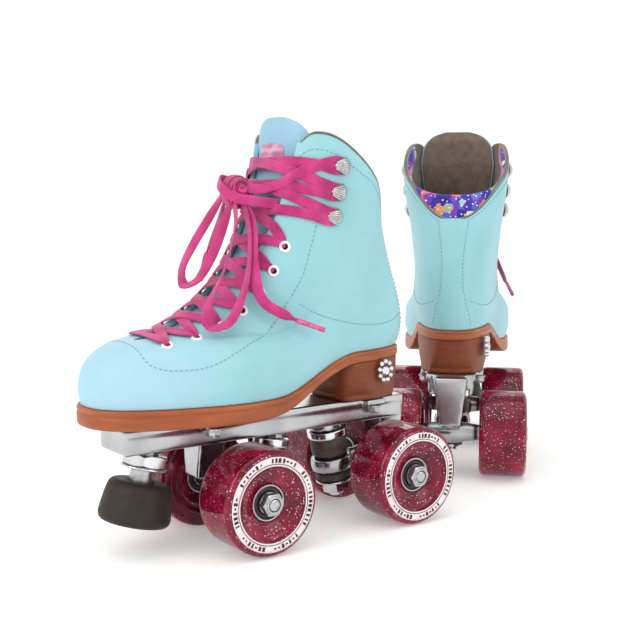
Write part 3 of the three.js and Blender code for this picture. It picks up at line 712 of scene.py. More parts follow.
def weld(piece, reach_mm=0.01):
    """Joins a piece's corners that coincide, drops empty faces and turns its faces outwards."""
    edit = bmesh.new()
    edit.from_mesh(piece.data)
    bmesh.ops.remove_doubles(edit, verts=edit.verts, dist=reach_mm * 0.001)
    bmesh.ops.dissolve_degenerate(edit, edges=edit.edges, dist=reach_mm * 0.0005)
    bmesh.ops.recalc_face_normals(edit, faces=edit.faces)
    edit.to_mesh(piece.data)
    edit.free()
    return piece


stay_rows, stay_columns, stay_thick = 70, 15, 0.9
stay_top = cuff_level(0.5, leather_dip(0.5))
stay_points = []
stay_edges = {1: [], -1: []}
for i in range(stay_rows):
    up = 0.02 + 0.98 * i / (stay_rows - 1)
    half = np.interp(up, [s[0] for s in stay_half], [s[1] for s in stay_half])
    level_here = up * (stay_top - 0.004)
    for j in range(stay_columns):
        u = 2 * j / (stay_columns - 1) - 1
        turn = bisect(math.pi - 0.9, math.pi + 0.9, 24,
                      lambda turn: boot_ring(level_here, np.array([turn]))[0][0] > u * half)
        edge_drop = stay_thick * smooth_step(0.86, 1.0, abs(u))
        at, out = on_last(boot_ring(level_here, np.array([turn]))[0])
        stay_points.append(at + out * (stay_thick - edge_drop * 1.15))
        if j in (1, stay_columns - 2):
            stay_edges[1 if u > 0 else -1].append(tuple(at))
seam_runs = {}
for hand in (1, -1):
    seam_runs[f"facing_{hand}"] = [(hand * x - (3.5 if y < -90 else 0), y, z) for x, y, z in facing_seam]
    seam_runs[f"counter_{hand}"] = [(hand * x, y, z) for x, y, z in counter_seam]
cuff_run = []
for j in range(40):
    share = 0.02 + 0.96 * j / 39
    cuff_run.append(upper_point(share, cuff_level(share, leather_dip(share)) - 0.028))
stay_mesh = (stay_points, grid_faces(stay_rows, stay_columns))
seam_shapes = [stitches(run) for run in [*seam_runs.values(), cuff_run]]
seam_shapes += [stitches(edge[2:], lift=0.95) for edge in stay_edges.values()]
for side in skates:
    weld(make_piece(f"{side}_back_stay", stay_mesh, grain_leather, "root", side,
                    {"boot_toeward": np.zeros(len(stay_points))}))
    seam_mesh = join_shapes(seam_shapes)
    weld(make_piece(f"{side}_stitching", seam_mesh, bonded_thread, "root", side), 0.002)


# ---- Eyelets and hooks --------------------------------------------------------------
# Seven white-enamelled brass eyelets up each facing, clenched through the leather, then
# three ribbed nickel hooks riveted to each side of the cuff.

# Baked paint on brass: clean satin white, greying where the lace has rubbed.
white_enamel = mottled("enamelled_brass_white", 2, 3.0, [(0.3, "#D9D6D3"), (0.6, "#F1EFEC")],
                       Roughness=0.3, Coat_Weight=0.3, Coat_Roughness=0.1)
# Painted shade: a dark plum disc just over the leather in each eyelet stands for the shadow down its hole.
eyelet_hole = mottled("painted_shade_eyelet_hole", 1, 2.0, [(0.3, "#2C1420"), (0.7, "#3D1B2C")],
                      Roughness=0.95, Specular_IOR_Level=0.1)
# Pressed and plated: bright and faintly warm, hazier in the grooves between its ribs.
nickel_plate = mottled("nickel_plated_pressed", 4, 3.0, [(0.3, "#A9A7A5"), (0.7, "#CFCDCA")],
                       gloss=(0.1, 0.26), Metallic=1.0, Roughness=0.18)

# The instep's slope: the lacing runs up it, and faces out from it.
lacing_slope = Vector((0, math.sqrt(0.5), math.sqrt(0.5)))
lacing_out = Vector((0, -math.sqrt(0.5), math.sqrt(0.5)))
eyelet_places = [(21.0 + 1.15 * i, 15 + 15.8 * i) for i in range(7)]
hook_places = [(36, 0.3, 202.3), (36.5, 2.6, 217.5), (37, 4.6, 233.5)]


def on_lacing(x, s, lift=0.0):
    """Where a point of the lacing (across, up the instep's slope) lies on the boot's outside."""
    far = Vector((x, 0, 0)) + lacing_slope * s + lacing_out * 240
    hit, way_out, _face, _distance = last_skin.ray_cast(far, -lacing_out)
    if hit is None:
        return on_last(far - lacing_out * 100, lift)
    way_out = way_out if way_out.dot(lacing_out) > 0 else -way_out
    return hit + way_out * lift, way_out


eyelet_profile = [
    (1.95, -0.8), (1.95, 0.5), (2.15, 0.85), (2.7, 1.0), (3.3, 0.85), (3.65, 0.35), (3.65, -0.3)]
eyelet_shapes, hole_shade_shapes = [], []
for x, s in eyelet_places:
    for hand in (1, -1):
        at, out = on_lacing(hand * x, s)
        eyelet_shapes.append(turn_round(eyelet_profile, 36, at, out))
        # A flat disc across the eyelet's opening, coloured as painted shade of the hole.
        hole_shade_shapes.append(turn_round([(0, 0.22), (2.0, 0.22)], 24, at, out))
hook_shapes = []
hook_frames = {1: [], -1: []}
for x, y, z in hook_places:
    for hand in (1, -1):
        at, out = on_last((hand * x, y, z))
        upright = Vector((0, 0.12, 1))
        up = (upright - out * out.dot(upright)).normalized()
        heel_way = out.cross(up) * hand
        heel_way = heel_way if heel_way.y > 0 else -heel_way
        hook_frames[hand].append((at, out, up, heel_way))
        points = []
        rows, columns = 17, 57
        for i in range(rows):
            v = i / (rows - 1)
            half = 3.3 + 2.3 * math.sin(math.pi / 2 * min(v * 1.25, 1)) - 1.0 * smooth_step(0.8, 1.0, v)
            for j in range(columns):
                u = 2 * j / (columns - 1) - 1
                rib_fade = math.sin(math.pi * min(v + 0.1, 1)) ** 0.5
                rib = 0.75 * abs(math.cos(3.5 * math.pi * u)) ** 0.7 * rib_fade
                dome = (1.0 + 2.5 * math.sin(math.pi * (0.1 + 0.86 * v))) * math.sqrt(1 - 0.85 * u * u)
                fan = 0.72 + 0.28 * v
                points.append(at + heel_way * (-2.6 + 9.6 * v * math.sqrt(1 - 0.28 * u * u))
                              + up * (u * half * fan) + out * (0.5 + dome + rib))
        hook_shapes.append((points, grid_faces(rows, columns)))
        foot_profile = [(0, 0.7), (3.4, 0.7), (4.2, 0.35), (4.3, -0.3)]
        hook_shapes.append(turn_round(foot_profile, 28, at - heel_way * 0.5, out))
        hook_shapes.append(turn_round([(1.6, 0.2), (1.6, 2.2), (0, 2.4)], 16, at - heel_way * 1.2, out))
for side in skates:
    weld(make_piece(f"{side}_eyelets", join_shapes(eyelet_shapes), white_enamel, "root", side))
    weld(make_piece(f"{side}_eyelet_hole_shade", join_shapes(hole_shade_shapes), eyelet_hole, "root", side))
    hooks = weld(make_piece(
        f"{side}_lace_hooks", join_shapes(hook_shapes), nickel_plate, "root", side))
    add_modifier(hooks, "SOLIDIFY", thickness=0.0006, offset=0)


# ---- Laces --------------------------------------------------------------------------
# One flat woven polyester lace per boot. It crosses from eyelet to eyelet over the tongue,
# then zigzags behind the hooks, and each strap lies on the one below.

woven_lace, tree, shader, place = finish(
    "polyester_lace_woven", Roughness=0.62, Sheen_Weight=0.3, Sheen_Roughness=0.45, Specular_IOR_Level=0.35)
# Herringbone: ribs slant to both edges from a middle line. A lace's mesh carries how far
# along and how far across each point lies, in metres. Real ribs are 0.5 mm; these are 1.2 mm.
lace_rib_mm = 1.2
along = node(tree, "Attribute", attribute_name="lace_along").outputs["Fac"]
across = node(tree, "Attribute", attribute_name="lace_across").outputs["Fac"]
aside = node(tree, "Math", {0: across}, operation="ABSOLUTE").outputs[0]
slant = node(tree, "Math", {0: along, 1: aside}, operation="ADD").outputs[0]
turns = node(tree, "Math", {0: slant, 1: 2 * math.pi * grain(lace_rib_mm)}, operation="MULTIPLY")
rib = node(tree, "Math", {0: turns.outputs[0]}, operation="SINE").outputs[0]
fuzz = node(tree, "TexNoise", {"Vector": place, "Scale": grain(0.7), "Detail": 2.0}).outputs["Fac"]
fade = node(tree, "TexNoise", {"Vector": place, "Scale": grain(14), "Detail": 2.0}).outputs["Fac"]
height = node(tree, "Math", {0: rib, 1: 0.5, 2: fuzz}, operation="MULTIPLY_ADD").outputs[0]
shade = node(tree, "Math", {0: rib, 1: 0.3, 2: fade}, operation="MULTIPLY_ADD").outputs[0]
node(tree, "ValToRGB", {"Fac": shade}, to=shader.inputs["Base Color"],
     stops=[(0.2, "#9A0E55"), (0.5, "#CA257A"), (0.8, "#E64B9A")])
node(tree, "Bump", {"Height": height, "Strength": 0.8, "Distance": 0.0004}, to=shader.inputs["Normal"])

lace_half, lace_thick, lace_lift = 3.3, 1.3, 1.25


def ribbon(route, ways_out, half_widths, half_thick=lace_thick / 2):
    """A flat lace along a route, with each point's way out: a mesh and its attributes."""
    corners, points, far, wide, gone = 12, [], [], [], 0.0
    for i, at in enumerate(route):
        ahead = (route[min(i + 1, len(route) - 1)] - route[max(i - 1, 0)]).normalized()
        out = (ways_out[i] - ahead * ways_out[i].dot(ahead)).normalized()
        aside_way = ahead.cross(out)
        gone += (at - route[i - 1]).length if i else 0.0
        for k in range(corners):
            turn = 2 * math.pi * k / corners
            u = math.copysign(abs(math.cos(turn)) ** 0.5, math.cos(turn)) * half_widths[i]
            v = math.copysign(abs(math.sin(turn)) ** 0.8, math.sin(turn)) * half_thick
            points.append(at + aside_way * u + out * v)
            far.append(gone * 0.001)
            wide.append(u * 0.001)
    faces = grid_faces(len(route), corners, closed=True)
    last = (len(route) - 1) * corners
    faces += [tuple(reversed(range(corners))), tuple(last + k for k in range(corners))]
    return points, faces, far, wide


def join_ribbons(ribbons):
    """Several ribbons as one mesh, with the attributes that its weave follows."""
    along_it, across_it = [[v for r in ribbons for v in r[k]] for k in (2, 3)]
    return join_shapes([r[:2] for r in ribbons]), {"lace_along": along_it, "lace_across": across_it}


def ease(ways, rounds=3):
    """Evens out a run of directions."""
    last = len(ways) - 1
    for _ in range(rounds):
        ways = [(ways[max(i - 1, 0)] + way * 2 + ways[min(i + 1, last)]).normalized()
                for i, way in enumerate(ways)]
    return ways


def cross_strap(start, end, hump):
    """A strap from one eyelet to another, that humps over what it crosses."""
    route, ways = [], []
    steps = 26
    for k in range(steps + 1):
        t = k / steps
        x, s = start[0] + (end[0] - start[0]) * t, start[1] + (end[1] - start[1]) * t
        dip = smooth_step(0, 0.09, t) * smooth_step(0, 0.09, 1 - t)
        lift = 1.1 * dip - 0.9 * (1 - dip) + hump * math.exp(-((t - 0.5) / 0.16) ** 2) + 0.5
        at, out = on_lacing(x, s, lift)
        route.append(at)
        ways.append(out)
    widths = [lace_half * (0.62 + 0.38 * smooth_step(0.0, 0.16, min(k / steps, 1 - k / steps)))
              for k in range(steps + 1)]
    return ribbon(route, ease(ways), widths)


straps = [cross_strap((-eyelet_places[0][0], eyelet_places[0][1]), eyelet_places[0], 0.2)]
for i in range(len(eyelet_places) - 1):
    (xa, sa), (xb, sb) = eyelet_places[i], eyelet_places[i + 1]
    first_over = i % 2 == 0
    straps.append(cross_strap((xa, sa), (-xb, sb), 1.7 if first_over else 0.2))
    straps.append(cross_strap((-xa, sa), (xb, sb), 0.2 if first_over else 1.7))
# Where a strap passes round a hook: out from the leather, up, and towards the heel.
round_hook = ((1.3, -2.6, -2.4), (1.4, -1.9, 2.2), (1.4, 1.9, 2.2), (1.3, 2.6, -2.4))
strap_end = Vector((0, -46.5, 218.5))
for hand in (1, -1):
    # From the last eyelet round each hook in turn, and down to the knot.
    x, s = eyelet_places[-1]
    stops = [on_lacing(hand * x, s, -0.8)[0], on_lacing(hand * x * 0.75, s + 6, 1.6)[0]]
    from_hand = hand
    for k in range(len(hook_places)):
        to_hand = -from_hand
        at, out, up, heel_way = hook_frames[to_hand][k]
        start = stops[-1]
        for t in (0.35, 0.6, 0.82):
            mid = start + (at - start) * t
            lift = 1.2 + (1.6 if (hand > 0) == (k % 2 == 0) else 0.0) * math.exp(-((mid.x / 14) ** 2))
            stops.append(on_last(mid + Vector((0, -14, 6)) * (1 - abs(mid.x) / 40), lift)[0])
        stops += [at + out * proud + up * rise + heel_way * back for proud, rise, back in round_hook]
        from_hand = to_hand
    start = stops[-1]
    for t in (0.4, 0.75):
        mid = start + (Vector((from_hand * 15, -31, 219)) - start) * t
        stops.append(on_last(mid + Vector((0, -8, 0)), 2.4)[0])
    stops += [Vector((from_hand * 13, -37, 219.5)), Vector((from_hand * 6, -44, 219.5)), strap_end]
    route = smooth_route(stops, 2.0)
    for k, at in enumerate(route[3:], 3):
        # No stretch lies lower than the leather that it crosses.
        skin, out = on_last(at)
        sunk = lace_lift - (at - skin).dot(out)
        route[k] = at + out * max(sunk, 0.0)
    ways = ease([on_last(p)[1] for p in route], 6)
    widths = [lace_half * (0.55 + 0.45 * smooth_step(0, 14, (p - strap_end).length)) for p in route]
    straps.append(ribbon(route, ways, widths))
strap_mesh, strap_marks = join_ribbons(straps)
for side in skates:
    lace = make_piece(f"{side}_crossed_lace", strap_mesh, woven_lace, "root", side, strap_marks)
    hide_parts(f"{side}_laces")


# ---- Lace bows ----------------------------------------------------------------------
# The free ends of the same lace, tied over the tongue: two loops and two tails per boot,
# hanging over the instep. The tails end in aglets of shrunk clear acetate.

# Clear film over the pressed pink weave: glossy, with the lace's colour showing through.
acetate = mottled("acetate_aglet_tinted", 3, 2.0, [(0.35, "#BF2F6E"), (0.65, "#D6598F")],
                  Roughness=0.18, IOR=1.47, Coat_Weight=0.5, Coat_Roughness=0.1)

knot_middle = Vector((0, -47, 217.5))
# The strands' courses from the knot, in the skate's millimetres.
bow_strands = {
    "outer_loop": [(2, -50, 218), (10, -53, 200), (19, -66, 173), (24, -82, 148), (27, -82, 138),
                   (31, -72, 140), (27, -57, 162), (16, -47, 192), (6, -47, 216)],
    "inner_loop": [(-4, -52, 218), (-13, -58, 202), (-19, -67, 184), (-19, -75, 169), (-13, -77, 160),
                   (-6, -72, 163), (-3, -64, 176), (-2, -56, 194), (0, -49, 216)],
    "outer_tail": [(6, -48, 216), (14, -44, 200), (26, -50, 172), (35, -50, 153), (40, -36, 143),
                   (46, -12, 133)],
    "inner_tail": [(-6, -50, 216), (-18, -48, 200), (-28, -52, 178), (-36, -52, 160)],
}
strand_turns = {"outer_loop": 0.9, "inner_loop": -0.8, "outer_tail": 0.25, "inner_tail": -0.3}
aglet_long, aglet_radius = 21.0, 1.55
# The knot: turns of lace round a core, each with its place across, half-width, lean and
# radius, and one strap over them whose ends run into the boot.
knot_turns = ((-6.2, 3.4, 0.4, 6.6), (5.9, 3.6, -0.35, 6.8), (-2.6, 3.5, -0.25, 8.6), (2.7, 3.6, 0.3, 8.8),
              (0.2, 3.8, 0.05, 10.2))
knot_core = ((0, -9.5), (3.4, -9), (6.0, -6), (7.0, 0), (6.0, 6), (3.4, 9), (0, 9.5))
turn_steps = 24
wraps = []
for offset, wide, lean, size in knot_turns:
    route, ways = [], []
    for k in range(turn_steps + 1):
        turn = 2 * math.pi * k / turn_steps
        way = Vector((lean * math.sin(turn), math.cos(turn), math.sin(turn)))
        route.append(knot_middle + Vector((offset + lean * 5 * math.sin(turn), 0, 0))
                     + Vector((0, way.y * size * 0.85, way.z * size)))
        ways.append(way.normalized())
    wraps.append(ribbon(route, ways, [wide] * len(route)))
core = turn_round(knot_core, 24, knot_middle, (1, 0, 0))
wraps.append((*core, [p.x * 0.001 for p in core[0]], [p.z * 0.0003 for p in core[0]]))
over_knot = smooth_route(
    [on_last((-21, -30, 221), -1)[0], (-15, -42, 224), (-9, -53, 225), (0, -57.5, 220.5), (9, -53, 214.5),
     (15, -42, 212), on_last((21, -30, 211), -1)[0]], 1.6)
over_ways = [Vector((p.x * 0.06, -1, 0.25)).normalized() for p in over_knot]
wraps.append(ribbon(over_knot, over_ways, [3.2] * len(over_knot)))
knot_mesh, knot_marks = join_ribbons(wraps)
for side in skates:
    knot = make_piece(f"{side}_bow_knot", knot_mesh, woven_lace, "root", side, knot_marks)
    add_modifier(knot, "SUBSURF", levels=1, render_levels=1)
    for strand, course in bow_strands.items():
        is_loop = "loop" in strand
        route = smooth_route(course, 2.2)
        gone = [0.0]
        for a, b in zip(route, route[1:]):
            gone.append(gone[-1] + (b - a).length)
        ways, widths = [], []
        for i, at in enumerate(route):
            out = on_last(at)[1]
            ahead = (route[min(i + 1, len(route) - 1)] - route[max(i - 1, 0)]).normalized()
            roll = strand_turns[strand] * math.sin(math.pi * gone[i] / gone[-1] * (2 if is_loop else 1))
            ways.append((Matrix.Rotation(roll, 3, ahead) @ out).normalized())
            from_knot = min(gone[i], gone[-1] - gone[i]) if is_loop else gone[i]
            width = lace_half * (0.7 + 0.3 * smooth_step(0, 20, from_knot))
            if not is_loop:
                sleeve_start = gone[-1] - aglet_long
                width = width + (1.1 - width) * smooth_step(sleeve_start - 7, sleeve_start, gone[i])
            widths.append(width)
        mesh, marks = join_ribbons([ribbon(route, ease(ways, 4), widths)])
        piece = make_piece(f"{side}_{strand}", mesh, woven_lace, "root", side, marks)
        on_it = [knot] if strand == "outer_loop" else []
        if not is_loop:
            sleeved = [p for p, so_far in zip(route, gone) if so_far >= gone[-1] - aglet_long - 0.1]
            sleeve = ribbon(sleeved, [on_last(p)[1] for p in sleeved], [aglet_radius] * len(sleeved),
                            aglet_radius * 0.9)
            on_it.append(make_piece(f"{side}_{strand}_aglet", sleeve[:2], acetate, "root", side))
        if strand == "outer_loop":
            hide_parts(f"{side}_lace_bow")


# ---- Outsole ------------------------------------------------------------------------
# A moulded sole of tan thermoplastic rubber, thinner under the arch. Its edge stands a
# welt's width proud of the leather and its corners are rounded.

sole_front, sole_waist, sole_welt = 12.0, 7.0, 2.2
moulded_sole, tree, shader, place = finish(
    "thermoplastic_rubber_tan", Roughness=0.42, IOR=1.5, Specular_IOR_Level=0.45)
# Dyed through and satin: faint flow streaks along the mould, and a little lighter along its most convex
# edges.
stretched = node(tree, "Mapping", {"Vector": place, "Scale": (1, 1, 5)}).outputs["Vector"]
streak = node(tree, "TexNoise", {"Vector": stretched, "Scale": grain(28), "Detail": 4.0}).outputs["Fac"]
convex_edges = node(tree, "NewGeometry").outputs["Pointiness"]
edge_lightening = node(tree, "MapRange", {"Value": convex_edges, "From Min": 0.5, "From Max": 0.6, "To Max": 0.35})
tone = node(tree, "Math", {0: streak, 1: edge_lightening.outputs["Result"]}, operation="ADD").outputs[0]
node(tree, "ValToRGB", {"Fac": tone}, to=shader.inputs["Base Color"],
     stops=[(0.3, "#87401B"), (0.6, "#9A4C22"), (1.0, "#B26736")])
fine = node(tree, "TexNoise", {"Vector": place, "Scale": grain(0.8), "Detail": 2.0}).outputs["Fac"]
node(tree, "Bump", {"Height": fine, "Strength": 0.12, "Distance": 0.0002}, to=shader.inputs["Normal"])


def sole_top(y):
    """The height of the outsole's upper face."""
    return arch_height(y, boot_base - 0.3, boot_base - 0.3 + heel_rise)


def sole_under(y):
    """The height of the outsole's underside."""
    return sole_top(y) - sole_front + (sole_front - sole_waist) * smooth_step(arch_start - 20, 0, y)


def stack_rings(rings):
    """Points and faces of a body through rings of one size, its ends filled side to side."""
    count = len(rings[0])
    faces = [tuple(reversed(f)) for f in grid_faces(len(rings), count, closed=True)]
    top = (len(rings) - 1) * count
    for j in range(count // 2):
        strip = (j, (j + 1) % count, (count - j - 1) % count, (count - j) % count)
        faces += [strip, tuple(reversed([top + k for k in strip]))]
    return [tuple(p) for ring in rings for p in ring], faces


# (distance drawn in from the welt, share of the thickness) up the sole's edge.
sole_edge = ((3.4, 0.0), (1.6, 0.0), (0.6, 0.04), (0.1, 0.13), (0.0, 0.3), (0.0, 0.62), (0.5, 0.68),
             (0.5, 0.74), (0.05, 0.8), (0.15, 0.93), (0.9, 1.0), (5.0, 1.0))
sole_turns = np.linspace(0, 2 * math.pi, 160, endpoint=False)
sole_rings = []
for drawn_in, share in sole_edge:
    ring = boot_ring(0, sole_turns, inset=drawn_in - sole_welt)
    rim_y = boot_ring(0, sole_turns, inset=-sole_welt)[:, 1]
    under, over = sole_under(rim_y), sole_top(rim_y)
    sole_rings.append(np.column_stack((ring[:, 0], ring[:, 1], under + (over - under) * share)))
sole_mesh = stack_rings(sole_rings)
for side in skates:
    sole = weld(make_piece(f"{side}_tan_outsole", sole_mesh, moulded_sole, "root", side))
    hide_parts(f"{side}_outsole")


# ---- Heel ---------------------------------------------------------------------------
# A D-shaped block in the same tan compound, darker than the sole as painted shade, straight
# across its front and cupped under the heel seat, on a thin hard top piece.

heel_top_half, heel_foot_half, heel_long, heel_taper = 30.0, 24.0, 60.0, 5.0
heel_ground = 80.3
heel_rubber_painted_shade, tree, shader, place = finish(
    "thermoplastic_rubber_heel_painted_shade", Roughness=0.5, IOR=1.5, Specular_IOR_Level=0.4)
# Sanded to the sole's line: fine level scratches, and a darker brown that is painted shade of the heel under
# the boot.
level_scratch = node(tree, "Mapping", {"Vector": place, "Scale": (1, 1, 9)}).outputs["Vector"]
scratch = node(tree, "TexNoise", {"Vector": level_scratch, "Scale": grain(7), "Detail": 6.0}).outputs["Fac"]
node(tree, "ValToRGB", {"Fac": scratch}, to=shader.inputs["Base Color"],
     stops=[(0.3, "#6C2F10"), (0.7, "#843E1A")])
node(tree, "Bump", {"Height": scratch, "Strength": 0.25, "Distance": 0.0003}, to=shader.inputs["Normal"])

heel_back = boot_sections[0][2]
heel_turns = np.linspace(0, 2 * math.pi, 144, endpoint=False)
heel_rows = ((0.0, 1.2), (0.0, 0.25), (0.03, 0.0), (0.12, 0.0), (0.135, 0.45), (0.155, 0.45), (0.17, 0.0),
             (0.4, 0.0), (0.7, 0.0), (0.985, 0.0), (1.0, 0.5))
heel_rings = []
for share, drawn_in in heel_rows:
    half = heel_foot_half + (heel_top_half - heel_foot_half) * share - drawn_in
    long = heel_long - 2 * heel_taper * (1 - share) - 2 * drawn_in
    back = heel_back - heel_taper * (1 - share) - drawn_in
    squared = np.where(np.cos(heel_turns) > 0, 0.4, 2 / plan_roundness)
    across = np.sign(np.sin(heel_turns)) * np.abs(np.sin(heel_turns)) ** squared
    deep = np.sign(np.cos(heel_turns)) * np.abs(np.cos(heel_turns)) ** squared
    y = back - (long / 2) * (1 + deep)
    x = half * across
    seat = boot_ring(0, sole_turns, inset=-sole_welt + 0.9)
    outer_half = len(sole_turns) // 2
    widest = np.interp(y, seat[:outer_half, 1], seat[:outer_half, 0])
    x = np.sign(x) * np.minimum(np.abs(x), widest)
    top = sole_under(y) - 0.2
    heel_rings.append(np.column_stack((x, y, heel_ground + (top - heel_ground) * share)))
heel_mesh = stack_rings(heel_rings)
for side in skates:
    block = weld(make_piece(f"{side}_tan_heel", heel_mesh, heel_rubber_painted_shade, "root", side))
    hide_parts(f"{side}_heel")


# ---- Heel badge ---------------------------------------------------------------------
# A small cast ornament pinned to each heel's outer side: nine domed studs in an oval round a
# larger one, electroplated.

# Bright nickel-chrome: a clean mirror, with faint hazy patches where fingers have been.
plated_chrome = mottled("chrome_plated_polished", 9, 4.0, [(0.35, "#C9CBCF"), (0.65, "#E2E3E6")],
                        gloss=(0.06, 0.2), Metallic=1.0, Roughness=0.1)


def soften(piece, width_mm, segments=2, limit=35):
    """Rounds a hard piece's corners and evens out its shading."""
    add_modifier(piece, "BEVEL", width=width_mm * 0.001, segments=segments, limit_method="ANGLE",
                 angle_limit=math.radians(limit), use_clamp_overlap=True)
    add_modifier(piece, "WEIGHTED_NORMAL", keep_sharp=False, weight=80)
    return piece


badge_z, badge_y, badge_oval = 99.0, 52.0, (5.0, 6.3)
badge_way, stud_count = (1, 0, 0.1), 9
badge_face = Vector((heel_foot_half + (heel_top_half - heel_foot_half) * 0.65 - 1.1, badge_y, badge_z))
badge_shapes = [turn_round(
    [(0, 2.3), (1.8, 2.1), (2.9, 1.4), (3.2, 0.2), (3.2, -1.5)], 24, badge_face, badge_way)]
for k in range(stud_count):
    turn = 2 * math.pi * k / stud_count
    stud = badge_face + Vector((0, badge_oval[0] * math.sin(turn), badge_oval[1] * math.cos(turn)))
    badge_shapes.append(turn_round(
        [(0, 1.9), (1.0, 1.7), (1.65, 1.0), (1.8, 0.0), (1.8, -1.5)], 14, stud, badge_way))
for side in skates:
    weld(make_piece(f"{side}_heel_badge", join_shapes(badge_shapes), plated_chrome, "root", side))


# ---- Plate --------------------------------------------------------------------------
# The chassis: an aluminium casting, a flat web between two side rails, with a raked boss
# over each kingpin and a pocket for each pivot. It was tumbled and buffed all over.

plate_top, plate_web, plate_depth, plate_half, plate_wall = 80.0, 4.5, 16.0, 17.0, 3.6
plate_front, plate_rear, lug_half, lug_long = 134.0, 75.0, 24.0, 15.0
lug_places = (-76.0, 47.5)
wheel_base, track_width, wheel_radius, wheel_width = 114.5, 114.0, 32.5, 35.0
ring_height, kingpin_span, kingpin_lean = 36.0, 55.0, math.radians(10.4)
pivot_reach, pivot_rise, ring_radius = 16.5, 8.0, 13.5
cup_top, cup_height, upper_cushion, lower_cushion, ring_thick = 23.9, 5.6, 13.2, 6.6, 9.0
stop_reach, stop_lean, stem_radius = 111.0, math.radians(13.3), 7.9
stop_axis = Vector((0, -math.sin(stop_lean), -math.cos(stop_lean)))
stop_root = Vector((0, -stop_reach, plate_top - plate_depth))

buffed_aluminium, tree, shader, place = finish("aluminium_cast_buffed", Metallic=1.0, Roughness=0.24)
# Buffed casting: bright, soft-edged reflections over a faint long ripple, hazier in patches.
ripple = node(tree, "TexNoise", {"Vector": place, "Scale": grain(24), "Detail": 2.0}).outputs["Fac"]
haze = node(tree, "TexNoise", {"Vector": place, "Scale": grain(9), "Detail": 3.0}).outputs["Fac"]
node(tree, "ValToRGB", {"Fac": ripple}, to=shader.inputs["Base Color"],
     stops=[(0.3, "#A6A7AB"), (0.7, "#BFC0C4")])
node(tree, "MapRange", {"Value": haze, "To Min": 0.18, "To Max": 0.3}, to=shader.inputs["Roughness"])
node(tree, "Bump", {"Height": ripple, "Strength": 0.15, "Distance": 0.0006}, to=shader.inputs["Normal"])


block_faces = [(0, 2, 3, 1), (4, 5, 7, 6), (0, 1, 5, 4), (2, 6, 7, 3), (0, 4, 6, 2), (1, 3, 7, 5)]


def brick(x0, x1, y0, y1, z0, z1):
    """Points and faces of a block."""
    return [(x, y, z) for z in (z0, z1) for y in (y0, y1) for x in (x0, x1)], block_faces


def bar(radius, length, centre, axis, steps=48):
    """Points and faces of a round bar centred on a point."""
    half = length / 2
    return turn_round([(0, -half), (radius, -half), (radius, half), (0, half)], steps, centre, axis)


def kingpin_axis(end):
    """The way up a kingpin, which leans to the skate's middle at its top."""
    return Vector((0, -end * math.sin(kingpin_lean), math.cos(kingpin_lean)))


def ring_centre(end):
    """The middle of a hanger's ring, where the cushions hold it."""
    return Vector((0, end * kingpin_span / 2, ring_height))


def pivot_centre(end):
    """The middle of a hanger's ball, in its pocket in the plate."""
    return Vector((0, end * (wheel_base / 2 + pivot_reach), ring_height + pivot_rise))


def steer_axis(end):
    """The way from a hanger's ring to its ball, which it steers about."""
    return (pivot_centre(end) - ring_centre(end)).normalized()


def cast(piece, voxel_mm, rounds=5):
    """Merges a piece's overlapping shapes into one skin and rounds it like a casting."""
    add_modifier(piece, "REMESH", mode="VOXEL", voxel_size=voxel_mm * 0.001, use_smooth_shade=True)
    add_modifier(piece, "SMOOTH", factor=0.6, iterations=rounds)
    return piece


under = plate_top - plate_depth
inside = plate_half - plate_wall
plate_shapes = [
    brick(-plate_half - 1.5, plate_half + 1.5, -plate_front, plate_rear, plate_top - plate_web, plate_top),
    brick(-plate_half, -inside, -plate_front, plate_rear, under, plate_top - 1),
    brick(inside, plate_half, -plate_front, plate_rear, under, plate_top - 1),
    brick(-plate_half, plate_half, -plate_front, -plate_front + plate_wall, under, plate_top - 1),
    bar(stem_radius + 4.5, 18, stop_root - stop_axis * 8, stop_axis)]
for y in lug_places:
    plate_shapes.append(brick(
        -lug_half, lug_half, y - lug_long / 2, y + lug_long / 2, plate_top - plate_web, plate_top))
for end in (-1, 1):
    pivot, up = pivot_centre(end), kingpin_axis(end)
    plate_shapes.append(bar(12.2, 20, ring_centre(end) + up * (cup_top + 10.4), up))
    near, far = pivot.y - end * 9.4, pivot.y + end * 7.6
    foot, head = pivot.z - 2.5, plate_top - 2
    pocket = []
    for half, y0, y1, z in ((8.5, near, far, foot), (12.5, near - end * 4, far - end, head)):
        pocket += [(x, y, z) for y in sorted((y0, y1)) for x in (-half, half)]
    plate_shapes.append((pocket, block_faces))
plate_mesh = join_shapes(plate_shapes)
for side in skates:
    chassis = weld(make_piece(f"{side}_cast_plate", plate_mesh, buffed_aluminium, "root", side))
    cast(chassis, 1.1)
    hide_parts(f"{side}_plate")

# Mounting screws: four zinc-plated nuts and washers under the plate's lugs.
# Bright zinc: greyer and hazier than chrome, with a fine drawn grain.
zinc_steel = mottled("steel_zinc_plated", 2, 5.0, [(0.35, "#A3A5A9"), (0.65, "#C3C5C8")],
                     gloss=(0.2, 0.4), Metallic=1.0, Roughness=0.3)


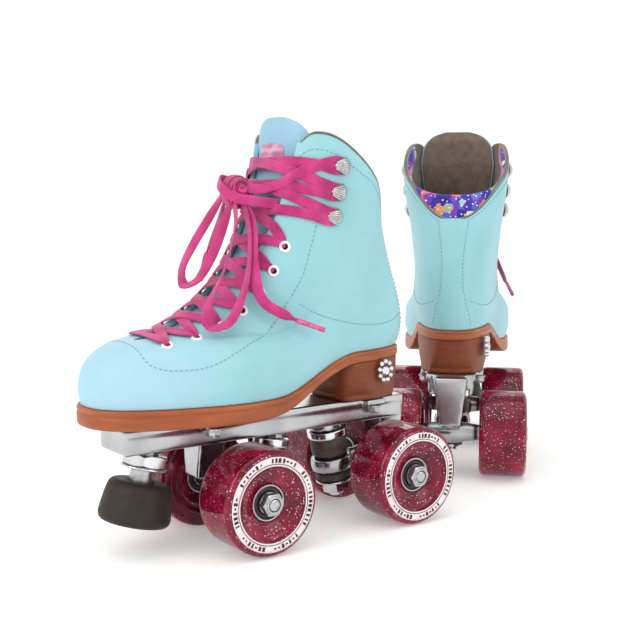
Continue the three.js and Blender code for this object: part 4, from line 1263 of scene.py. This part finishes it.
def hex_nut(flats, height, bore, centre, axis, collar=0.0):
    """Points and faces of a chamfered nut from centre along axis, with a round collar on top."""
    axis, centre = Vector(axis).normalized(), Vector(centre)
    first = Vector((0, 0, 1)) if abs(axis.z) < 0.9 else Vector((1, 0, 0))
    first = (first - axis * first.dot(axis)).normalized()
    second = axis.cross(first)
    steps, apothem = 72, flats / 2
    # Rows of (radius, distance, chamfer's direction); no radius means the six flats.
    rows = [(bore, 0, 0), (apothem * 0.96, 0, 0), (None, 0, 1), (None, height, -1),
            (apothem * 0.96, height, 0)]
    if collar:
        rows += [(apothem * 0.84, height, 0), (apothem * 0.82, height + collar * 0.7, 0),
                 (apothem * 0.7, height + collar, 0), (bore, height + collar, 0)]
    else:
        rows.append((bore, height, 0))
    points = []
    for radius, along, chamfer in rows:
        for k in range(steps):
            turn = 2 * math.pi * k / steps
            corner = apothem / math.cos((turn + math.pi / 6) % (math.pi / 3) - math.pi / 6)
            out = corner if radius is None else radius
            lift = along + chamfer * (corner - apothem) * 0.6 if radius is None else along
            spoke = first * math.cos(turn) + second * math.sin(turn)
            points.append(centre + axis * lift + spoke * out)
    faces = grid_faces(len(rows), steps, closed=True)
    last = (len(rows) - 1) * steps
    faces += [(last + k, last + (k + 1) % steps, (k + 1) % steps, k) for k in range(steps)]
    return points, faces


def washer(inner, outer, low, high, steps, centre, axis):
    """Points and faces of a flat ring between two radii and two distances along its axis."""
    corners = [(inner, low), (outer, low), (outer, high), (inner, high), (inner, low)]
    return turn_round(corners, steps, centre, axis)


fixing_shapes = []
for y in lug_places:
    for x in (-21, 21):
        fixing_shapes.append(washer(3.2, 4.6, 75.4, 74.4, 32, (x, y, 0), (0, 0, 1)))
        fixing_shapes.append(hex_nut(7.6, 3.4, 2.4, (x, y, 74.4), (0, 0, -1), collar=0.9))
        fixing_shapes.append(bar(2.35, 7.2, (x, y, 73.2), (0, 0, 1), steps=24))
fixing_mesh = join_shapes(fixing_shapes)
for side in skates:
    soften(weld(make_piece(f"{side}_plate_fixings", fixing_mesh, zinc_steel, "root", side)), 0.2)


# ---- Trucks -------------------------------------------------------------------------
# Each axle is carried by a cast hanger that rocks between two rubber cushions on a raked
# kingpin, with its far end's ball in a pocket of the plate.

core_width, journal_radius, housing_half = 24.0, 6.0, 19.0
wheel_centre = (track_width - wheel_width) / 2
# Soft moulding: satin, a dark grey-brown, dusty where the metal has rubbed it.
cushion_rubber = mottled("polyurethane_dark_moulded", 5, 5.0, [(0.35, "#3A302C"), (0.7, "#564842")],
                         relief=(0.15, 0.0003), Roughness=0.55, Specular_IOR_Level=0.4)


def rounded_profile(corners, radius, steps=4):
    """A profile of (radius, distance) corners with each inner corner rounded."""
    points = [Vector(c) for c in corners]
    out = [points[0]]
    for a, b, c in zip(points, points[1:], points[2:]):
        reach = min(radius, (a - b).length / 2.2, (c - b).length / 2.2)
        start, end = b + (a - b).normalized() * reach, b + (c - b).normalized() * reach
        for k in range(steps + 1):
            t = k / steps
            out.append(start * (1 - t) ** 2 + b * 2 * t * (1 - t) + end * t * t)
    out.append(points[-1])
    return [(p.x, p.y) for p in out]


half_ring = ring_thick / 2
steer_room = 1.4
skate_ends = [(side, end_name, end) for side in skates for end_name, end in (("front", -1), ("rear", 1))]
for side, end_name, end in skate_ends:
    centre, up, y = ring_centre(end), kingpin_axis(end), end * wheel_base / 2
    body = f"{side}_{end_name}_truck"
    reach = (pivot_centre(end) - centre).length
    swing = steer_axis(end)
    mouth, flare = ring_radius - 1, reach - 5
    hanger_shapes = [
        turn_round([(9, -half_ring), (ring_radius, -half_ring), (ring_radius + 0.8, 0),
                    (ring_radius, half_ring), (9, half_ring), (9, -half_ring)], 64, centre, up),
        turn_round([(0, mouth), (5.6, mouth), (4.3, mouth + 6), (4.0, flare), (0, flare)], 40, centre, swing),
        turn_round([(0, flare - 4), (3.6, flare - 4), (3.6, reach), (0, reach)], 32, centre, swing),
        turn_round([(0, reach - 5.4)] + [(5.4 * math.sin(t), reach - 5.4 * math.cos(t))
                   for t in np.linspace(0.2, math.pi - 0.2, 14)] + [(0, reach + 5.4)], 36, centre, swing),
        bar(journal_radius, 2 * (wheel_centre - core_width / 2 - 0.3), (0, y, wheel_radius), (1, 0, 0)),
        turn_round([(0, -housing_half), (6.4, -housing_half), (7.0, -housing_half + 5), (8.2, -6), (8.6, 0),
                    (8.2, 6), (7.0, housing_half - 5), (6.4, housing_half), (0, housing_half)],
                   48, (0, y, wheel_radius), (1, 0, 0)),
        brick(-6, 6, y - 5.5, y + 5.5, wheel_radius, wheel_radius + 8.6)]
    hanger = weld(make_piece(
        f"{body}_hanger_casting", join_shapes(hanger_shapes), buffed_aluminium, body, side))
    cast(hanger, 0.8, rounds=6)
    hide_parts(f"{side}_{end_name}_hanger")

    # Kingpin: cup washer, rolled retainer and lock nut on one bolt.
    low = -half_ring - 0.3 - lower_cushion - 0.3
    cup_foot = cup_top - cup_height
    bolt_shapes = [
        turn_round(rounded_profile([(4.8, cup_foot), (12.6, cup_foot), (ring_radius, cup_foot + 1.2),
                   (ring_radius, cup_top), (4.8, cup_top)], 0.8), 56, centre, up),
        turn_round(rounded_profile([(4.8, low - 2), (10.4, low - 2), (12.4, low - 1.2), (12.4, low),
                   (4.8, low)], 0.6), 56, centre, up),
        turn_round(rounded_profile([(0, cup_top + 13.5), (4.7, cup_top + 13.5), (4.7, low - 11.4),
                   (4.0, low - 12), (0, low - 12)], 0.3), 40, centre, up),
        hex_nut(17, 6.4, 4.8, centre + up * (low - 2), -up, collar=1.4)]
    kingpin = make_piece(
        f"{side}_{end_name}_kingpin_bolt", join_shapes(bolt_shapes), plated_chrome, "root", side)
    soften(weld(kingpin), 0.25)
    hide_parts(f"{side}_{end_name}_kingpin")

    # Cushions: a tall barrel over the ring and a short cone below it.
    above, below = half_ring + 0.3, -half_ring - 0.3
    cushion_shapes = []
    for profile in (
            [(5.2, above), (8.4, above), (11.6, above + steer_room), (12.3, above + 3), (12.6, above + 6.6),
             (12.2, above + 10.5), (11.4, above + upper_cushion), (5.2, above + upper_cushion), (5.2, above)],
            [(5.2, below), (5.2, below - lower_cushion), (11.2, below - lower_cushion), (12.0, below - 5),
             (12.0, below - steer_room - 0.8), (11.2, below - steer_room), (8.4, below), (5.2, below)],
            [(5.2, below), (8.1, below), (8.1, above), (5.2, above), (5.2, below)]):
        cushion_shapes.append(turn_round(rounded_profile(profile, 0.9), 56, centre, up))
    cushion = weld(make_piece(f"{side}_{end_name}_cushion_pair", join_shapes(cushion_shapes),
                              cushion_rubber, "root", side))
    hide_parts(f"{side}_{end_name}_cushions")

    # Axle: a drawn steel bar with rolled threads at both ends.
    tip = track_width / 2 + 1.6
    axle_profile = [(0, -tip), (3.2, -tip)]
    ridge = -tip + 0.7
    while ridge < -tip + 9:
        axle_profile += [(3.95, ridge), (3.55, ridge + 0.5)]
        ridge += 1.0
    axle_profile += [(4.0, -tip + 9.6)]
    axle_profile += [(r, -d) for r, d in reversed(axle_profile)]
    axle_mesh = turn_round(axle_profile, 40, (0, y, wheel_radius), (1, 0, 0))
    axle = weld(make_piece(f"{body}_threaded_axle", axle_mesh, zinc_steel, body, side))
    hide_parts(f"{side}_{end_name}_axle")


# ---- Wheels -------------------------------------------------------------------------
# Cast polyurethane tyres, clear dark red with silver flake, pressed on two ball bearings.
# The outer face is dished to the hub and carries a pale printed ring of plain marks.

tyre_edge, tyre_dish, tyre_recess = 4.0, 22.4, 2.2
hub_radius = 11.3
flake_urethane, tree, shader, place = finish(
    "polyurethane_clear_red_flake", Roughness=0.12, IOR=1.5, Specular_IOR_Level=0.36,
    Subsurface_Weight=0.08, Subsurface_Radius=(0.006, 0.001, 0.0015), Transmission_Weight=0.12)
# Cast and polished: wet gloss, cloudy red depth, and flakes about 0.9 mm across that flash.
cloud = node(tree, "TexNoise", {"Vector": place, "Scale": grain(16), "Detail": 4.0}).outputs["Fac"]
body_red = node(tree, "ValToRGB", {"Fac": cloud},
                stops=[(0.3, "#54041A"), (0.5, "#78092A"), (0.72, "#9C1139")]).outputs[0]
flake = node(tree, "TexVoronoi", {"Vector": place, "Scale": grain(1.1)})
luck = node(tree, "SeparateColor", {"Color": flake.outputs["Color"]})
chosen = node(tree, "Math", {0: luck.outputs["Red"], 1: 0.66}, operation="GREATER_THAN").outputs[0]
near = node(tree, "Math", {0: flake.outputs["Distance"], 1: 0.33}, operation="LESS_THAN").outputs[0]
shows = node(tree, "Math", {0: chosen, 1: near}, operation="MULTIPLY").outputs[0]
flake_tint = node(tree, "ValToRGB", {"Fac": luck.outputs["Green"]},
                  stops=[(0.0, "#A8224C"), (0.55, "#D06A8B"), (0.9, "#FBD5E0")]).outputs[0]
both = node(tree, "Mix", {"Factor": shows, "A": body_red, "B": flake_tint}, data_type="RGBA")
tree.links.new(both.outputs["Result"], shader.inputs["Base Color"])
node(tree, "Math", {0: shows, 1: 0.6}, to=shader.inputs["Metallic"], operation="MULTIPLY")

# Pad-printed ink: thin, slightly pink where the red shows through, a little uneven.
print_ink = mottled("pad_print_white", 3, 4.0, [(0.3, "#E9D3D8"), (0.65, "#F6ECEE")],
                    Roughness=0.45, Specular_IOR_Level=0.4)

# The same print's dark marks: near-black plum, rubbed thin in places.
mark_ink = mottled("pad_print_plum", 2, 4.0, [(0.3, "#2A0E18"), (0.7, "#431424")],
                   Roughness=0.45, Specular_IOR_Level=0.4)

# The bearings' dust seals: dark, satin and slightly greasy.
seal_rubber = mottled("nitrile_seal_dark", 3, 3.0, [(0.35, "#261C1E"), (0.65, "#3E3033")],
                      Roughness=0.5, Specular_IOR_Level=0.4)

half_wide = wheel_width / 2
tyre_face = [
    (hub_radius, core_width / 2), (13.6, core_width / 2), (15.4, half_wide - 3.6), (19.0, half_wide - 2.4),
    (tyre_dish, half_wide - tyre_recess), (tyre_dish + 0.7, half_wide - 0.25), (23.6, half_wide),
    (29.2, half_wide)]
tyre_face += [(wheel_radius - tyre_edge + tyre_edge * math.sin(t), half_wide - tyre_edge * (1 - math.cos(t)))
              for t in np.linspace(0.12, math.pi / 2, 9)]
tyre_profile = [(hub_radius, -core_width / 2)] + [(r, -d) for r, d in tyre_face[1:]]
tyre_profile += [(wheel_radius, half_wide * t) for t in (-0.45, 0.0, 0.45)]
tyre_profile += list(reversed(tyre_face)) + [(hub_radius, -core_width / 2)]
tyre_steps = 112
# The print, by its inner and outer radii: two pale rings with a dark line between them, and
# broken dark marks on the wide ring that spell nothing.
wide_ring, thin_ring, dark_line = (24.85, 29.1), (23.5, 24.5), (24.45, 24.9)
ink_lift, line_lift, mark_lift = 0.12, 0.16, 0.22
race_outer, seal_outer, seal_inner, race_bore = 11.2, 10.2, 6.2, 4.25
mark_dice = random.Random(7)
mark_count, mark_low, mark_high = 60, 25.6, 28.3
mark_spans = [(mark_dice.uniform(0.35, 0.75), mark_dice.choice((0.0, 0.0, 0.3)), k % 9 < 7)
              for k in range(mark_count)]


def band_on_face(inner, outer, start, end, lift, side_way, y, steps):
    """A thin raised patch of ring on a wheel's face, between two angles."""
    face_x = side_way * (wheel_centre + half_wide)
    points = []
    for radius, raised in ((inner, -0.3), (inner, lift), (outer, lift), (outer, -0.3)):
        for k in range(steps + 1):
            turn = start + (end - start) * k / steps
            points.append((face_x + side_way * raised, y + radius * math.cos(turn),
                           wheel_radius + radius * math.sin(turn)))
    count = steps + 1
    faces = grid_faces(4, count)
    faces += [(k + 1, k, 3 * count + k, 3 * count + k + 1) for k in range(steps)]
    if abs(end - start) < 2 * math.pi - 1e-6:
        faces += [(0, count, 2 * count, 3 * count),
                  (3 * count + steps, 2 * count + steps, count + steps, steps)]
    return points, faces


for side, end_name, end in skate_ends:
    for place_name, way in (("outer", 1), ("inner", -1)):
        corner = f"{side}_{end_name}_{place_name}"
        roller = f"{corner}_roller"
        y = end * wheel_base / 2
        hub, axis = Vector((way * wheel_centre, y, wheel_radius)), (way, 0, 0)
        tyre_mesh = turn_round(tyre_profile, tyre_steps, hub, axis)
        tyre = weld(make_piece(f"{roller}_tyre", tyre_mesh, flake_urethane, roller, side))
        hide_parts(f"{corner}_wheel")

        full = 2 * math.pi
        rings = [band_on_face(*ring, 0, full, ink_lift, way, y, tyre_steps)
                 for ring in (wide_ring, thin_ring)]
        weld(make_piece(f"{roller}_printed_ring", join_shapes(rings), print_ink, roller, side))
        marks = [band_on_face(*dark_line, 0, full, line_lift, way, y, tyre_steps)]
        for k, (wide, short, shown) in enumerate(mark_spans):
            if shown:
                start = full * k / mark_count
                end_turn = start + full / mark_count * wide
                tall = (mark_high - mark_low) * short
                marks.append(band_on_face(
                    mark_low + tall, mark_high - tall, start, end_turn, mark_lift, way, y, 4))
        weld(make_piece(f"{roller}_printed_marks", join_shapes(marks), mark_ink, roller, side))

        # Bearings: an outer and an inner race either side of a sunk dark seal.
        races, seals = [], []
        for hand in (1, -1):
            face = hand * core_width / 2
            races.append(washer(race_outer, seal_outer, face, face - hand * 2, 64, hub, axis))
            races.append(washer(seal_inner, race_bore, face, face - hand * 6, 48, hub, axis))
            seals.append(washer(seal_outer, seal_inner, face - hand * 0.6, face - hand * 5, 48, hub, axis))
        race = make_piece(f"{roller}_bearing_races", join_shapes(races), zinc_steel, roller, side)
        soften(weld(race), 0.25)
        weld(make_piece(f"{roller}_bearing_seals", join_shapes(seals), seal_rubber, roller, side))
        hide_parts(f"{corner}_bearings")

        # Lock nut with its washer, on the axle's thread.
        nut_at = hub + Vector((way * (core_width / 2 + 0.35), 0, 0))
        nut_mesh = join_shapes([
            washer(4.3, 7.0, 0, 0.9, 40, nut_at, axis),
            hex_nut(13, 4.9, 4.15, nut_at + Vector((way * 0.9, 0, 0)), axis, collar=0.9)])
        nut = make_piece(
            f"{corner}_lock_nut", nut_mesh, zinc_steel, f"{side}_{end_name}_truck", side)
        soften(weld(nut), 0.2)
        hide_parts(f"{corner}_axle_nut")


# ---- Toe stop -----------------------------------------------------------------------
# A moulded rubber stop bonded to a threaded steel stem, held at its height by a large
# chromed jam nut under the plate.

stop_height, stop_low = 26.0, 19.0
rubber_top = (plate_top - plate_depth - stop_low) / math.cos(stop_lean) - stop_height
stop_compound, tree, shader, place = finish("natural_rubber_black", Roughness=0.6, Specular_IOR_Level=0.35)
# Hard black-brown rubber: satin flanks, a scuffed and dusty foot.
scuff = node(tree, "TexNoise", {"Vector": place, "Scale": grain(4), "Detail": 7.0, "Roughness": 0.65})
node(tree, "ValToRGB", {"Fac": scuff.outputs["Fac"]}, to=shader.inputs["Base Color"],
     stops=[(0.3, "#1F1715"), (0.55, "#2B211C"), (0.8, "#3F322B")])
node(tree, "MapRange", {"Value": scuff.outputs["Fac"], "To Min": 0.42, "To Max": 0.75},
     to=shader.inputs["Roughness"])
node(tree, "Bump", {"Height": scuff.outputs["Fac"], "Strength": 0.25, "Distance": 0.0004},
     to=shader.inputs["Normal"])

thread_pitch, jam_flats, jam_height, jam_gap, stem_bottom = 1.4, 26.0, 7.2, 3.4, 8.0
for side in skates:
    rubber_profile = rounded_profile([
        (8.3, 0.6), (8.3, 0), (16.8, 0), (19.3, 2.4), (20.6, 8), (21.6, 15), (22.3, 21.5), (21.2, 24.6),
        (18.6, stop_height), (0, stop_height)], 2.0, steps=5)
    rubber_profile = [(0, 17.5), (8.3, 17.5)] + rubber_profile
    rubber_mesh = turn_round(rubber_profile, 96, stop_root + stop_axis * rubber_top, stop_axis)
    rubber = weld(make_piece(f"{side}_stop_moulding", rubber_mesh, stop_compound,
                             f"{side}_stop_rubber", side))
    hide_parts(f"{side}_toe_stop")

    top, bottom = -(plate_web + 2), rubber_top + stop_height - stem_bottom
    stem_profile = [(0, top), (6.6, top)]
    ridge = top + 0.8
    while ridge < bottom - 1:
        stem_profile += [(stem_radius - 0.05, ridge), (stem_radius - 0.85, ridge + thread_pitch / 2)]
        ridge += thread_pitch
    stem_profile += [(6.8, bottom), (0, bottom)]
    stem_mesh = turn_round(stem_profile, 56, stop_root, stop_axis)
    stem = weld(make_piece(f"{side}_stop_threaded_stem", stem_mesh, zinc_steel,
                           f"{side}_stop_screw", side))
    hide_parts(f"{side}_toe_stop_stem")

    jam_at = stop_root + stop_axis * (jam_gap + jam_height + 1.8) - stop_axis * 1.8
    flange_profile = rounded_profile([(8.2, 0), (13.9, 0), (14.6, 0.9), (14.2, 1.8), (8.2, 1.8)], 0.5)
    jam_mesh = join_shapes([hex_nut(jam_flats, jam_height, 8.15, jam_at, -stop_axis),
                            turn_round(flange_profile, 72, jam_at, stop_axis)])
    jam = make_piece(f"{side}_stop_jam_nut", jam_mesh, plated_chrome, "root", side)
    soften(weld(jam), 0.35)
    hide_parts(f"{side}_toe_stop_nut")
